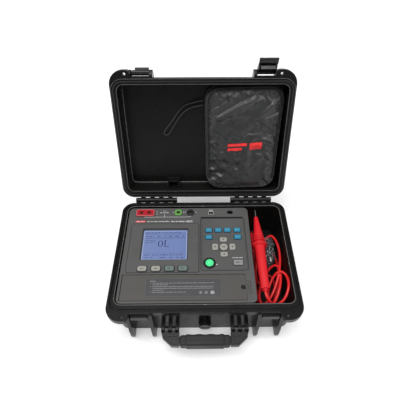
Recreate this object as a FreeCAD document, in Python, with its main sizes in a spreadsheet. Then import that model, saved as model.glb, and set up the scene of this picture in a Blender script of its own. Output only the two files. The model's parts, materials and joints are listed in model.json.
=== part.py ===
"""Insulation resistance tester in a rugged carry case: a parametric assembly.

Frame: millimetres, +Z up, the front (handle side) faces -Y, +X is the operator's right.
The origin is the centre of the base's underside, and the lid stands open.
"""
import FreeCAD, Part
import math
import os
import Sketcher
from FreeCAD import Placement, Rotation, Vector

doc = FreeCAD.newDocument("insulation_tester")
sheet = doc.addObject("Spreadsheet::Sheet", "dims")

# ---------------------------------------------------------------- driving dimensions
DIMENSIONS = {
    # the case
    "case_width": 410, "case_depth": 293, "base_height": 112, "lid_height": 52,
    "rim_radius": 28, "rim_thickness": 14, "wall_inset": 8, "wall_radius": 22, "wall_draft": 1.2,
    "opening_width": 379, "opening_depth": 260, "opening_shift": 3, "opening_radius": 14,
    "lid_opening_shift": -2, "floor_thickness": 4, "seal_inset": 5.5, "seal_width": 3, "seal_height": 2.4,
    "lobe_reach": 17, "lobe_inner": 165, "padlock_radius": 3, "padlock_reach": 8.5,
    # lid hinges
    "hinge_reach": 9, "knuckle_radius": 6.5, "hinge_start": 69, "knuckle_pitch": 11.7,
    "pin_radius": 2.5, "running_gap": 0.06, "side_gap": 0.35, "lid_open": 110,
    # latches
    "latch_inner": 117, "latch_width": 40, "boss_width": 7, "latch_pin_reach": 9,
    "latch_pin_rise": 16, "latch_length": 42, "latch_right_open": 35, "latch_left_open": 183,
    # handle
    "handle_reach": 14, "handle_drop": 54, "handle_lug_start": 55, "lug_width": 7.6,
    "lug_radius": 7, "handle_out": 37, "handle_bar": 23, "valve_height": 45,
    # instrument
    "panel_left": -188, "panel_right": 111, "panel_front": -124.5, "panel_back": 131,
    "panel_drop": 3, "panel_thickness": 4, "frame_rise": 1.5, "recess_depth": 1.5,
    "housing_wall": 2.5, "housing_floor": 8,
    # keys
    "key_gap": 0.4, "key_rise": 3, "flange_lip": 1.2, "flange_thickness": 1.4,
    "key_width": 15.5, "key_depth": 11.5, "soft_width": 20.5, "soft_depth": 12.5,
    "test_radius": 10.2, "ok_radius": 9.6,
    # battery door
    "door_left": -181, "door_right": 90, "door_front": -118, "door_back": -58.5,
    "door_thickness": 3, "door_gap": 0.4, "tab_reach": 9.5,
    # sockets
    "contact_radius": 3, "plug_radius": 2, "shroud_radius": 4.7, "contact_length": 20,
    # the loose kit
    "lead_diameter": 6, "strap_diameter": 3, "probe_height": 101,
    "pouch_thickness": 34, "pouch_radius": 32,
}
for row, (alias, value) in enumerate(DIMENSIONS.items(), start=1):
    sheet.set(f"A{row}", alias.replace("_", " "))
    sheet.set(f"B{row}", str(value))
    sheet.setAlias(f"B{row}", alias)
doc.recompute()


class Size:
    """A length that carries both its present value and the spreadsheet expression behind it."""

    def __init__(self, value, text):
        self.value = value
        self.text = text

    def _with(self, other, sign, swapped=False):
        first, second = (as_size(other), self) if swapped else (self, as_size(other))
        results = {"+": first.value + second.value, "-": first.value - second.value,
                   "*": first.value * second.value}
        value = results[sign] if sign in results else first.value / second.value
        return Size(value, f"({first.text} {sign} {second.text})")

    def __add__(self, other):
        return self._with(other, "+")

    def __radd__(self, other):
        return self._with(other, "+", swapped=True)

    def __sub__(self, other):
        return self._with(other, "-")

    def __rsub__(self, other):
        return self._with(other, "-", swapped=True)

    def __mul__(self, other):
        return self._with(other, "*")

    def __rmul__(self, other):
        return self._with(other, "*", swapped=True)

    def __truediv__(self, other):
        return self._with(other, "/")

    def __neg__(self):
        return self._with(-1, "*")


def as_size(number):
    return number if isinstance(number, Size) else Size(number, repr(float(number)))


def value_of(number):
    return number.value if isinstance(number, Size) else float(number)


def dim(alias):
    return Size(float(DIMENSIONS[alias]), f"dims.{alias}")


def bind(thing, prop, number):
    """Set a property, and tie it to the sheet where the number comes from there."""
    if isinstance(number, Size):
        thing.setExpression(prop, number.text)


# ---------------------------------------------------------------- modelling helpers
def move(thing, x=0, y=0, z=0, rotation=None):
    """Place an object, with each coordinate tied to the sheet."""
    thing.Placement = Placement(Vector(value_of(x), value_of(y), value_of(z)), rotation or Rotation())
    for axis, number in (("x", x), ("y", y), ("z", z)):
        bind(thing, f"Placement.Base.{axis}", number)
    return thing


def block(name, x0, x1, y0, y1, z0, z1):
    """A plain box between two corners."""
    box = doc.addObject("Part::Box", name)
    for prop, low, high in (("Length", x0, x1), ("Width", y0, y1), ("Height", z0, z1)):
        setattr(box, prop, value_of(high) - value_of(low))
        bind(box, prop, as_size(high) - low)
    return move(box, x0, y0, z0)


TURN = {"z": Rotation(), "x": Rotation(Vector(0, 1, 0), 90), "y": Rotation(Vector(1, 0, 0), -90)}


def rod(name, radius, length, x, y, z, along="z"):
    """A cylinder that starts at a point and runs along one axis."""
    cylinder = doc.addObject("Part::Cylinder", name)
    cylinder.Radius = value_of(radius)
    cylinder.Height = value_of(length)
    bind(cylinder, "Radius", radius)
    bind(cylinder, "Height", length)
    return move(cylinder, x, y, z, TURN[along])


def taper(name, radius_1, radius_2, length, x, y, z, along="z"):
    """A cone frustum that starts at a point and runs along one axis."""
    cone = doc.addObject("Part::Cone", name)
    cone.Radius1 = value_of(radius_1)
    cone.Radius2 = value_of(radius_2)
    cone.Height = value_of(length)
    for prop, number in (("Radius1", radius_1), ("Radius2", radius_2), ("Height", length)):
        bind(cone, prop, number)
    return move(cone, x, y, z, TURN[along])


def fuse(name, pieces):
    union = doc.addObject("Part::MultiFuse", name)
    union.Shapes = pieces
    union.Refine = True
    return union


def cut(name, base, tools):
    """Take the tools away from the base."""
    result = doc.addObject("Part::Cut", name)
    result.Base = base
    result.Tool = tools[0] if len(tools) == 1 else fuse(name + "_tools", tools)
    return result


def group(name, pieces):
    """Separate solids that share one node."""
    compound = doc.addObject("Part::Compound", name)
    compound.Links = pieces
    return compound


def new_sketch(body, name, plane):
    sketch = body.newObject("Sketcher::SketchObject", name)
    support = next(face for face in body.Origin.OriginFeatures if face.Role == plane)
    sketch.AttachmentSupport = [(support, "")]
    sketch.MapMode = "FlatFace"
    return sketch


def pin_point(sketch, index, corner, x, y):
    """Fix a sketch vertex by its two coordinates."""
    for kind, number in (("DistanceX", x), ("DistanceY", y)):
        if abs(value_of(number)) < 1e-9:
            axis = -2 if kind == "DistanceX" else -1
            sketch.addConstraint(Sketcher.Constraint("PointOnObject", index, corner, axis))
            continue
        where = sketch.addConstraint(Sketcher.Constraint(kind, -1, 1, index, corner, value_of(number)))
        bind(sketch, f"Constraints[{where}]", number)


def rounded_outline(sketch, x0, x1, y0, y1, radius):
    """A rectangle with four equal tangent arcs, every size tied to the sheet."""
    left, right, low, high, r = (value_of(number) for number in (x0, x1, y0, y1, radius))
    corners = ((right - r, low + r, -90), (right - r, high - r, 0),
               (left + r, high - r, 90), (left + r, low + r, 180))
    ends = []
    for cx, cy, start in corners:
        first, last = math.radians(start), math.radians(start + 90)
        circle = Part.Circle(Vector(cx, cy, 0), Vector(0, 0, 1), r)
        sketch.addGeometry(Part.ArcOfCircle(circle, first, last), False)
        ends.append((Vector(cx + r * math.cos(first), cy + r * math.sin(first), 0),
                     Vector(cx + r * math.cos(last), cy + r * math.sin(last), 0)))
    for index in range(4):
        side = Part.LineSegment(ends[index][1], ends[(index + 1) % 4][0])
        sketch.addGeometry(side, False)
        line = 4 + index
        sketch.addConstraint(Sketcher.Constraint("Tangent", index, 2, line, 1))
        sketch.addConstraint(Sketcher.Constraint("Tangent", line, 2, (index + 1) % 4, 1))
        sketch.addConstraint(Sketcher.Constraint("Vertical" if index % 2 == 0 else "Horizontal", line))
    for index in (1, 2, 3):
        sketch.addConstraint(Sketcher.Constraint("Equal", 0, index))
    where = sketch.addConstraint(Sketcher.Constraint("Radius", 0, r))
    bind(sketch, f"Constraints[{where}]", radius)
    for line, kind, number in ((4, "DistanceX", x1), (6, "DistanceX", x0),
                               (5, "DistanceY", y1), (7, "DistanceY", y0)):
        where = sketch.addConstraint(Sketcher.Constraint(kind, -1, 1, line, 1, value_of(number)))
        bind(sketch, f"Constraints[{where}]", number)


def slab(name, x0, x1, y0, y1, z0, z1, radius, draft=None, crown=None):
    """A body padded from a rounded rectangle, with an optional wall draft and rounded top edge."""
    body = doc.addObject("PartDesign::Body", name)
    sketch = new_sketch(body, name + "_outline", "XY_Plane")
    rounded_outline(sketch, x0, x1, y0, y1, radius)
    pad = body.newObject("PartDesign::Pad", name + "_pad")
    pad.Profile = sketch
    pad.Length = value_of(z1) - value_of(z0)
    bind(pad, "Length", as_size(z1) - z0)
    if draft is not None:
        pad.TaperAngle = value_of(draft)
        bind(pad, "TaperAngle", draft)
    sketch.Visibility = False
    if crown is not None:
        doc.recompute()
        faces = pad.Shape.Faces
        top = max(range(len(faces)), key=lambda i: faces[i].CenterOfMass.z)
        fillet = body.newObject("PartDesign::Fillet", name + "_crown")
        fillet.Base = (pad, [f"Face{top + 1}"])
        fillet.Radius = value_of(crown)
        bind(fillet, "Radius", crown)
    return move(body, 0, 0, z0)


def profile(name, plane, points, thickness, at=0):
    """A body padded from a closed polygon; on YZ_Plane it is padded along +X from x = at."""
    body = doc.addObject("PartDesign::Body", name)
    sketch = new_sketch(body, name + "_outline", plane)
    vectors = [Vector(value_of(a), value_of(b), 0) for a, b in points]
    for index, start in enumerate(vectors):
        sketch.addGeometry(Part.LineSegment(start, vectors[(index + 1) % len(vectors)]), False)
    for index in range(len(vectors)):
        following = (index + 1) % len(vectors)
        sketch.addConstraint(Sketcher.Constraint("Coincident", index, 2, following, 1))
    for index, (a, b) in enumerate(points):
        pin_point(sketch, index, 1, a, b)
    pad = body.newObject("PartDesign::Pad", name + "_pad")
    pad.Profile = sketch
    pad.Length = value_of(thickness)
    bind(pad, "Length", thickness)
    offset = {"YZ_Plane": {"x": at}, "XY_Plane": {"z": at}, "XZ_Plane": {"y": at}}[plane]
    return move(body, **offset)


def node(thing, label, swing=None):
    """Mark an object as a sub-part of the assembly, turned about its pivots where it has any."""
    if swing is not None:
        if thing.TypeId not in ("Part::Cut", "Part::MultiFuse", "Part::Compound"):
            thing = group(label + "_set", [thing])
        thing.Placement = swing
    thing.Label = label
    nodes.append(thing)
    return thing


nodes = []

# ---------------------------------------------------------------- shared places
half_width = dim("case_width") / 2
half_depth = dim("case_depth") / 2
rim = dim("base_height")
hinge_y = half_depth + dim("hinge_reach")
open_left = -dim("opening_width") / 2
open_right = dim("opening_width") / 2
open_front = dim("opening_shift") - dim("opening_depth") / 2
open_back = dim("opening_shift") + dim("opening_depth") / 2
lid_front = dim("lid_opening_shift") - dim("opening_depth") / 2
lid_back = dim("lid_opening_shift") + dim("opening_depth") / 2
pin_r = dim("pin_radius")
bore_r = pin_r + dim("running_gap")
latch_pin_y = -(half_depth + dim("latch_pin_reach"))
latch_pin_z = rim + dim("latch_pin_rise")
handle_y = -(half_depth + dim("handle_reach"))
handle_z = rim - dim("handle_drop")
valve_z = dim("valve_height")
panel_top = rim - dim("panel_drop")
panel_under = panel_top - dim("panel_thickness")
frame_top = panel_top + dim("frame_rise")
recess_top = panel_top - dim("recess_depth")
SIDES = (("left", -1), ("right", 1))
SOCKETS = {"line_a": (-156.6, 115), "line_b": (-137.2, 115),
           "guard": (-64.3, 115.2), "earth": (-33.8, 115.2)}

hinge_centre = Vector(0, value_of(hinge_y), value_of(rim))
lid_swing = Placement(Vector(), Rotation(Vector(1, 0, 0), -DIMENSIONS["lid_open"]), hinge_centre)


def latch_swing(side):
    """The latch turned open about its pin, then carried up with the lid."""
    centre = Vector(0, value_of(latch_pin_y), value_of(latch_pin_z))
    angle = DIMENSIONS[f"latch_{side}_open"]
    return lid_swing.multiply(Placement(Vector(), Rotation(Vector(1, 0, 0), -angle), centre))


# ---------------------------------------------------------------- case base
def rim_ring(name, z0, z1):
    """The flange round the mouth of a case half."""
    return slab(name, -half_width, half_width, -half_depth, half_depth, z0, z1, dim("rim_radius"))


def corner_lobe(name, sign, z0, z1):
    """The padlock ear at a front corner: the corner's arc pushed forwards."""
    ear = slab(name, -half_width, half_width, -half_depth - dim("lobe_reach"), half_depth / 2, z0, z1,
               dim("rim_radius") + 4)
    inner = dim("lobe_inner")
    low = -half_depth - dim("lobe_reach") - 5
    keep = profile(name + "_keep", "XY_Plane",
                   [(sign * (half_width + 5), low), (sign * inner, low), (sign * (inner - 10), -half_depth),
                    (sign * (inner - 10), -half_depth + 30), (sign * (half_width + 5), -half_depth + 30)],
                   as_size(z1) - z0 + 2, as_size(z0) - 1)
    common = doc.addObject("Part::MultiCommon", name + "_part")
    common.Shapes = [ear, keep]
    return common


def padlock_hole(name, sign):
    return rod(name, dim("padlock_radius"), 60, sign * (dim("lobe_inner") + 5),
               -half_depth - dim("padlock_reach"), rim - 30)


def seal_path(name, widen, z0, z1):
    """A closed rectangular band centred on the sealing line."""
    near = dim("seal_inset") - widen
    far = dim("seal_inset") + dim("seal_width") + widen
    outer = slab(name + "_outer", -half_width + near, half_width - near, -half_depth + near,
                 half_depth - near, z0, z1, dim("rim_radius") - near)
    inner = slab(name + "_inner", -half_width + far, half_width - far, -half_depth + far,
                 half_depth - far, as_size(z0) - 1, as_size(z1) + 1, dim("rim_radius") - far)
    return cut(name, outer, [inner])


def knuckle_starts(lid):
    """X of each knuckle's low side on one hinge: the base has the odd ones, the lid the even ones."""
    first = 1 if lid else 0
    return [dim("hinge_start") + dim("knuckle_pitch") * index for index in range(first, 9, 2)]


def knuckles(name, lid):
    """The hinge knuckles of a case half with the webs that carry them."""
    pieces = []
    web_low, web_high = (rim + 2, rim + 12) if lid else (rim - 13, rim - 2)
    width = dim("knuckle_pitch") - dim("side_gap")
    for side, sign in SIDES:
        for number, start in enumerate(knuckle_starts(lid)):
            low = start if sign > 0 else -(start + width)
            tag = f"{name}_{side}_{number}"
            pieces.append(rod(tag, dim("knuckle_radius"), width, low, hinge_y, rim, "x"))
            pieces.append(block(tag + "_web", low, low + width, half_depth - 12, hinge_y + 2, web_low,
                                web_high))
    return pieces


def hinge_bores(name, radius):
    length = dim("knuckle_pitch") * 9 + 4
    return [rod(f"{name}_{side}", radius, length,
                dim("hinge_start") - 2 if sign > 0 else -(dim("hinge_start") - 2) - length,
                hinge_y, rim, "x") for side, sign in SIDES]


def latch_rib(name, x0):
    """One of the tall guard ribs that flank a latch, seen from the side."""
    front = -half_depth
    return profile(name, "YZ_Plane",
                   [(front + 14, rim - 3), (front - 5, rim - 3), (front - 8, rim - 30), (front - 13, 44),
                    (front - 14, 22), (front - 12, 7), (front - 9, 3), (front - 3, 1.5),
                    (front + 14, 1.5)], 7, x0)


def handle_lugs(name):
    """Three ears on each side that carry the handle's pins."""
    pieces = []
    for side, sign in SIDES:
        for number in range(3):
            start = dim("handle_lug_start") + dim("lug_width") * 2 * number
            low = start if sign > 0 else -(start + dim("lug_width"))
            tag = f"{name}_{side}_{number}"
            pieces.append(rod(tag, dim("lug_radius"), dim("lug_width"), low, handle_y, handle_z, "x"))
            pieces.append(block(tag + "_root", low, low + dim("lug_width"), handle_y, -half_depth + 14,
                                handle_z - dim("lug_radius"), handle_z + dim("lug_radius")))
    return pieces


def case_base():
    inset = dim("wall_inset")
    drop = 2.2
    wall = slab("base_wall", -half_width + inset + drop, half_width - inset - drop,
                -half_depth + inset + drop, half_depth - inset - drop, 0, rim - 2,
                dim("wall_radius"), dim("wall_draft"))
    pieces = [wall, rim_ring("base_rim", rim - dim("rim_thickness"), rim)]
    for side, sign in SIDES:
        pieces.append(corner_lobe(f"base_lobe_{side}", sign, rim - dim("rim_thickness"), rim))
        for place, start in (("inner", dim("latch_inner") - 8), ("outer",
                             dim("latch_inner") + dim("latch_width"))):
            low = start if sign > 0 else -start - 7
            pieces.append(latch_rib(f"base_rib_{side}_{place}", low))
        near = dim("latch_inner") + 2
        far = dim("latch_inner") + dim("latch_width") - 2
        pieces.append(block(f"base_strike_{side}", sign * near if sign > 0 else -far,
                            far if sign > 0 else -near, -half_depth - 5, -half_depth + 12,
                            rim - 26, rim - 13))
        for level in (0.36, 0.62):
            low = half_width - inset - 6 if sign > 0 else -half_width
            pieces.append(slab(f"base_band_{side}_{int(level * 100)}", low + 1, low + 13,
                               -half_depth + 50, half_depth - 50, rim * level, rim * level + 6, 5))
    pieces += knuckles("base_knuckle", lid=False)
    pieces += handle_lugs("base_lug")
    pieces.append(rod("base_valve_boss", 14, 12, 0, -half_depth - 1, valve_z, "y"))
    solid = fuse("base_solid", pieces)
    tools = [slab("base_cavity", open_left, open_right, open_front, open_back, dim("floor_thickness"),
                  rim + 20, dim("opening_radius")),
             seal_path("base_groove", dim("running_gap") * 7, rim - 3.2, rim + 1)]
    tools += hinge_bores("base_hinge_bore", bore_r)
    for side, sign in SIDES:
        tools.append(padlock_hole(f"base_padlock_{side}", sign))
        start = dim("handle_lug_start") - 2
        length = dim("lug_width") * 5 + 4
        tools.append(rod(f"base_handle_bore_{side}", pin_r - 0.5, length,
                         start if sign > 0 else -start - length, handle_y, handle_z, "x"))
    tools.append(rod("base_valve_bore", 5, 30, 0, -half_depth - 10, valve_z, "y"))
    # small moulded pockets in the ledge, where the instrument's clips are reached
    for x, y in ((0, open_front - 2.2), (-3, open_back + 2.2), (open_left - 2.2, 35), (open_left - 2.2, -34),
                 (open_right + 2.2, 35), (open_right + 2.2, -34)):
        tag = f"base_pocket_{len(tools)}"
        tools.append(block(tag, as_size(x) - 4, as_size(x) + 4, as_size(y) - 2, as_size(y) + 2,
                           rim - 6, rim + 1))
    return node(cut("base_final", solid, tools), "case_base")


# ---------------------------------------------------------------- case lid
def case_lid():
    inset = dim("wall_inset")
    top = rim + dim("lid_height")
    wall = slab("lid_wall", -half_width + inset, half_width - inset, -half_depth + inset,
                half_depth - inset, rim + 1, top, dim("wall_radius"), -dim("wall_draft"), 7)
    pieces = [wall, rim_ring("lid_rim", rim + 0.3, rim + dim("rim_thickness") - 2)]
    for side, sign in SIDES:
        pieces.append(corner_lobe(f"lid_lobe_{side}", sign, rim + 0.3, rim + dim("rim_thickness") - 2))
        boss = dim("boss_width")
        for place, start in (("inner", dim("latch_inner") - boss - dim("side_gap")),
                             ("outer", dim("latch_inner") + dim("latch_width") + dim("side_gap"))):
            low = start if sign > 0 else -start - boss
            front = -half_depth
            pieces.append(profile(f"lid_boss_{side}_{place}", "YZ_Plane",
                                  [(front + 16, rim + 1), (front - 7, rim + 1), (front - 13, rim + 6),
                                   (front - 15, rim + 14), (front - 14, rim + 22), (front - 8, rim + 25),
                                   (front + 4, rim + 34), (front + 16, rim + 36)], boss, low))
        near = dim("latch_inner") - dim("side_gap")
        far = dim("latch_inner") + dim("latch_width") + dim("side_gap")
        low, high = (near, far) if sign > 0 else (-far, -near)
        pieces.append(block(f"lid_latch_web_{side}", low - 1, high + 1, -half_depth - 3.6, -half_depth + 1,
                            rim + 1, rim + 7))
        pieces.append(taper(f"lid_pip_{side}", 2.6, 1.4, 3.4, sign * 21, -half_depth + 1, rim + 7, "y"))
    pieces += knuckles("lid_knuckle", lid=True)
    solid = fuse("lid_solid", pieces)
    tools = [slab("lid_cavity", open_left, open_right, lid_front, lid_back, rim - 10,
                  top - dim("floor_thickness"), dim("opening_radius"), None, 5),
             seal_path("lid_groove", 0, rim - 1, rim + 2.6)]
    tools += hinge_bores("lid_hinge_bore", pin_r)
    for side, sign in SIDES:
        tools.append(padlock_hole(f"lid_padlock_{side}", sign))
        start = dim("latch_inner") - dim("boss_width") - 2
        length = dim("latch_width") + dim("boss_width") * 2 + 5
        tools.append(rod(f"lid_latch_bore_{side}", pin_r - 0.5, length,
                         start if sign > 0 else -start - length, latch_pin_y, latch_pin_z, "x"))
    shell = cut("lid_shell", solid, tools)
    # the small moulded bracket by the hinge side and the locating boss by the latch side
    roof = top - dim("floor_thickness")
    details = [shell]
    for x in (-93, -66):
        details.append(block(f"lid_bracket_{-x}", x, x + 3.5, lid_back - 14, lid_back + 1, rim + 12,
                             roof + 1))
    details.append(block("lid_bracket_bar", -93, -62.5, lid_back - 14, lid_back - 11, rim + 26,
                         roof + 1))
    details.append(block("lid_locator", -15, -7, lid_front - 1, lid_front + 6, rim + 24, roof + 1))
    return node(fuse("lid_final", details), "case_lid", lid_swing)


def lid_seal():
    """The rubber cord in the lid's groove, which meets the groove in the base."""
    ring = seal_path("lid_seal_ring", 0, rim + 2.6 - dim("seal_height") - 1.6, rim + 2.6)
    node(ring, "lid_seal", lid_swing)


def lid_pins():
    """The two hinge pins and the two latch pins."""
    pins = []
    for side, sign in SIDES:
        length = dim("knuckle_pitch") * 9 - 1
        pins.append(rod(f"hinge_pin_{side}", pin_r, length,
                        dim("hinge_start") + 0.3 if sign > 0 else -dim("hinge_start") - 0.3 - length,
                        hinge_y, rim, "x"))
        start = dim("latch_inner") - dim("boss_width") + 0.5
        length = dim("latch_width") + dim("boss_width") * 2 - 1
        pins.append(rod(f"latch_pin_{side}", pin_r - 0.5, length,
                        start if sign > 0 else -start - length, latch_pin_y, latch_pin_z, "x"))
    node(group("lid_pin_set", pins), "lid_pins", lid_swing)


# ---------------------------------------------------------------- latches
def latch(side, sign):
    """A lever on the lid with a pivoting hook, drawn hanging closed and then turned open."""
    low = dim("latch_inner") if sign > 0 else -dim("latch_inner") - dim("latch_width")
    high = low + dim("latch_width")
    tip = latch_pin_z - dim("latch_length")
    pin_y = latch_pin_y
    outer = pin_y - 7
    plate = profile(f"lever_plate_{side}", "YZ_Plane",
                    [(pin_y - 2, latch_pin_z + 5), (pin_y - 6, latch_pin_z + 3), (outer, latch_pin_z - 4),
                     (outer, tip + 8), (outer - 4, tip), (outer - 1, tip - 1.5), (outer + 4, tip + 6),
                     (pin_y - 3, latch_pin_z - 8), (pin_y - 1, latch_pin_z - 4)],
                    dim("latch_width"), low)
    hub = rod(f"lever_hub_{side}", 4.6, dim("latch_width"), low, pin_y, latch_pin_z, "x")
    cheeks = []
    hook_y = pin_y + 0.2
    hook_z = latch_pin_z - 17
    for tag, x in (("a", low), ("b", high - 4)):
        cheeks.append(profile(f"lever_cheek_{side}_{tag}", "YZ_Plane",
                              [(outer + 1, latch_pin_z - 6), (pin_y + 3.4, latch_pin_z - 9),
                               (pin_y + 3.4, hook_z - 4), (outer + 1, tip + 9)], 4, x))
    bar = rod(f"lever_bar_{side}", 2.6, dim("latch_width"), low, outer - 1.5, tip + 0.5, "x")
    solid = fuse(f"lever_solid_{side}", [plate, hub, bar] + cheeks)
    bores = [rod(f"lever_bore_{side}", pin_r - 0.5 + dim("running_gap"), dim("latch_width") + 2, low - 1,
                 pin_y, latch_pin_z, "x"),
             rod(f"lever_hook_bore_{side}", 1.5, dim("latch_width") + 2, low - 1, hook_y, hook_z, "x"),
             block(f"lever_window_{side}", low + 12, high - 12, outer - 6, outer + 8, tip + 9, tip + 12)]
    node(cut(f"lever_{side}_final", solid, bores), f"latch_lever_{side}", latch_swing(side))

    # the hook swings on its own cross pin between the lever's cheeks
    inner_low, inner_high = low + 4 + dim("side_gap"), high - 4 - dim("side_gap")
    jaw = profile(f"hook_jaw_{side}", "YZ_Plane",
                  [(hook_y - 2, hook_z + 2.5), (hook_y + 2.4, hook_z + 2.5), (hook_y + 3.4, hook_z - 8),
                   (hook_y + 7.4, hook_z - 9.5), (hook_y + 7.4, hook_z - 12.5), (hook_y, hook_z - 13),
                   (hook_y - 1.6, hook_z - 10)],
                  dim("latch_width") - 8 - dim("side_gap") * 2, inner_low)
    pin = rod(f"hook_pin_{side}", 1.44, dim("latch_width") - 1, low + 0.5, hook_y, hook_z, "x")
    node(fuse(f"hook_{side}_final", [jaw, pin]), f"latch_hook_{side}", latch_swing(side))


# ---------------------------------------------------------------- handle
def handle():
    """A folding bail with chamfered corners: two forked ends and a bar under a moulded grip."""
    lug = dim("lug_width")
    reach = dim("handle_out")
    inner_x = dim("handle_lug_start")
    outer_x = inner_x + lug * 5
    y_bar = handle_y - reach
    half = dim("handle_bar") / 2
    pieces = []
    for side, sign in SIDES:
        for number in range(2):
            start = inner_x + lug * (2 * number + 1) + dim("side_gap")
            width = lug - dim("side_gap") * 2
            low = start if sign > 0 else -start - width
            tag = f"handle_prong_{side}_{number}"
            pieces.append(rod(tag, dim("lug_radius") - 0.6, width, low, handle_y, handle_z, "x"))
            pieces.append(block(tag + "_arm", low, low + width, handle_y - 13, handle_y,
                                handle_z - 5.5, handle_z + 5.5))
        outline = [(sign * (inner_x - 1), handle_y - 8.5), (sign * (outer_x - 1), handle_y - 8.5),
                   (sign * (outer_x - 4), y_bar + 17), (sign * (inner_x + 15), y_bar + 0.5),
                   (sign * (inner_x - 1), y_bar)]
        if sign < 0:
            outline.reverse()
        pieces.append(profile(f"handle_elbow_{side}", "XY_Plane", outline, 11, handle_z - 5.5))
    pieces.append(block("handle_core", -inner_x, inner_x, y_bar + 4, y_bar + dim("handle_bar") - 4,
                        handle_z - half + 4, handle_z + half - 4))
    solid = fuse("handle_solid", pieces)
    bores = []
    for side, sign in SIDES:
        pocket = [(sign * (inner_x + 4), handle_y - 17), (sign * (outer_x - 9), handle_y - 17),
                  (sign * (outer_x - 9), y_bar + 15), (sign * (inner_x + 15), y_bar + 4),
                  (sign * (inner_x + 4), y_bar + 4)]
        if sign < 0:
            pocket.reverse()
        bores.append(profile(f"handle_pocket_{side}", "XY_Plane", pocket, 6, handle_z + 2.5))
        length = lug * 5 + 4
        start = inner_x - 2
        bores.append(rod(f"handle_bore_{side}", pin_r - 0.5 + dim("running_gap"), length,
                         start if sign > 0 else -start - length, handle_y, handle_z, "x"))
    node(cut("handle_final", solid, bores), "handle_frame")

    # the soft grip is moulded round the bar, fuller in the middle and scalloped for the fingers
    sleeve = slab("grip_sleeve", -inner_x + 1.5, inner_x - 1.5, y_bar + 0.8, y_bar + dim("handle_bar") - 0.8,
                  handle_z - half + 0.8, handle_z + half - 0.8, 6, None, 5)
    swell = slab("grip_swell", -inner_x + 12, inner_x - 12, y_bar - 0.6, y_bar + dim("handle_bar") + 1,
                 handle_z - half - 0.6, handle_z + half + 0.6, 7, None, 6)
    hollow = block("grip_hollow", -inner_x, inner_x, y_bar + 4, y_bar + dim("handle_bar") - 4,
                   handle_z - half + 4, handle_z + half - 4)
    tools = [hollow]
    for number, x in enumerate((-25, 0, 25), start=1):
        tools.append(rod(f"grip_scallop_{number}", 24, half * 4, x, y_bar + dim("handle_bar") + 22.6,
                         handle_z - half * 2))
    node(cut("grip_final", fuse("grip_solid", [sleeve, swell]), tools), "handle_grip")

    pins = []
    for side, sign in SIDES:
        length = lug * 5 - 1
        start = inner_x + 0.5
        pins.append(rod(f"handle_pin_{side}", pin_r - 0.5, length,
                        start if sign > 0 else -start - length, handle_y, handle_z, "x"))
    node(group("handle_pin_set", pins), "handle_pins")


def valve_knob():
    """The pressure valve's screw in the front wall."""
    head = rod("valve_head", 12.5, 4.6, 0, -half_depth - 6, valve_z, "y")
    stem = rod("valve_stem", 4.94, 14, 0, -half_depth - 2, valve_z, "y")
    slot = block("valve_slot", -10, 10, -half_depth - 8, -half_depth - 4.4, valve_z - 1.4, valve_z + 1.4)
    node(cut("valve_final", fuse("valve_solid", [head, stem]), [slot]), "valve_knob")


# ---------------------------------------------------------------- keys
class Key:
    """A push key: where it is, the shape of its cap, and the level of the panel round it."""

    def __init__(self, name, x, y, width, depth, radius, level):
        self.name, self.x, self.y = name, x, y
        self.width, self.depth, self.radius, self.level = width, depth, radius, level

    def outline(self, grow):
        """Edges and corner radius of the cap, grown on every side."""
        return (self.x - self.width / 2 - grow, self.x + self.width / 2 + grow,
                self.y - self.depth / 2 - grow, self.y + self.depth / 2 + grow)

    def build(self):
        top = self.level + dim("key_rise")
        under = panel_under - 0.3
        x0, x1, y0, y1 = self.outline(0)
        cap = slab(self.name + "_cap", x0, x1, y0, y1, under - 0.5, top, self.radius, None, 1.1)
        x0, x1, y0, y1 = self.outline(dim("flange_lip"))
        lip = slab(self.name + "_lip", x0, x1, y0, y1, under - dim("flange_thickness"), under,
                   self.radius + dim("flange_lip"))
        node(fuse(self.name + "_solid", [cap, lip]), self.name)

    def hole(self):
        x0, x1, y0, y1 = self.outline(dim("key_gap"))
        return slab(self.name + "_hole", x0, x1, y0, y1, panel_under - 1, frame_top + 2,
                    self.radius + dim("key_gap"))


class RoundKey(Key):
    def __init__(self, name, x, y, radius, level):
        super().__init__(name, x, y, radius * 2, radius * 2, radius, level)

    def build(self):
        top = self.level + dim("key_rise")
        under = panel_under - 0.3
        cap = rod(self.name + "_cap", self.radius, top - under - 0.6, self.x, self.y, under - 0.5)
        dome = taper(self.name + "_dome", self.radius, self.radius - 1.2, 1.1, self.x, self.y, top - 1.1)
        lip = rod(self.name + "_lip", self.radius + dim("flange_lip"), dim("flange_thickness"), self.x,
                  self.y, under - dim("flange_thickness"))
        node(fuse(self.name + "_solid", [cap, dome, lip]), self.name)

    def hole(self):
        return rod(self.name + "_hole", self.radius + dim("key_gap"), 14, self.x, self.y, panel_under - 1)


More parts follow.
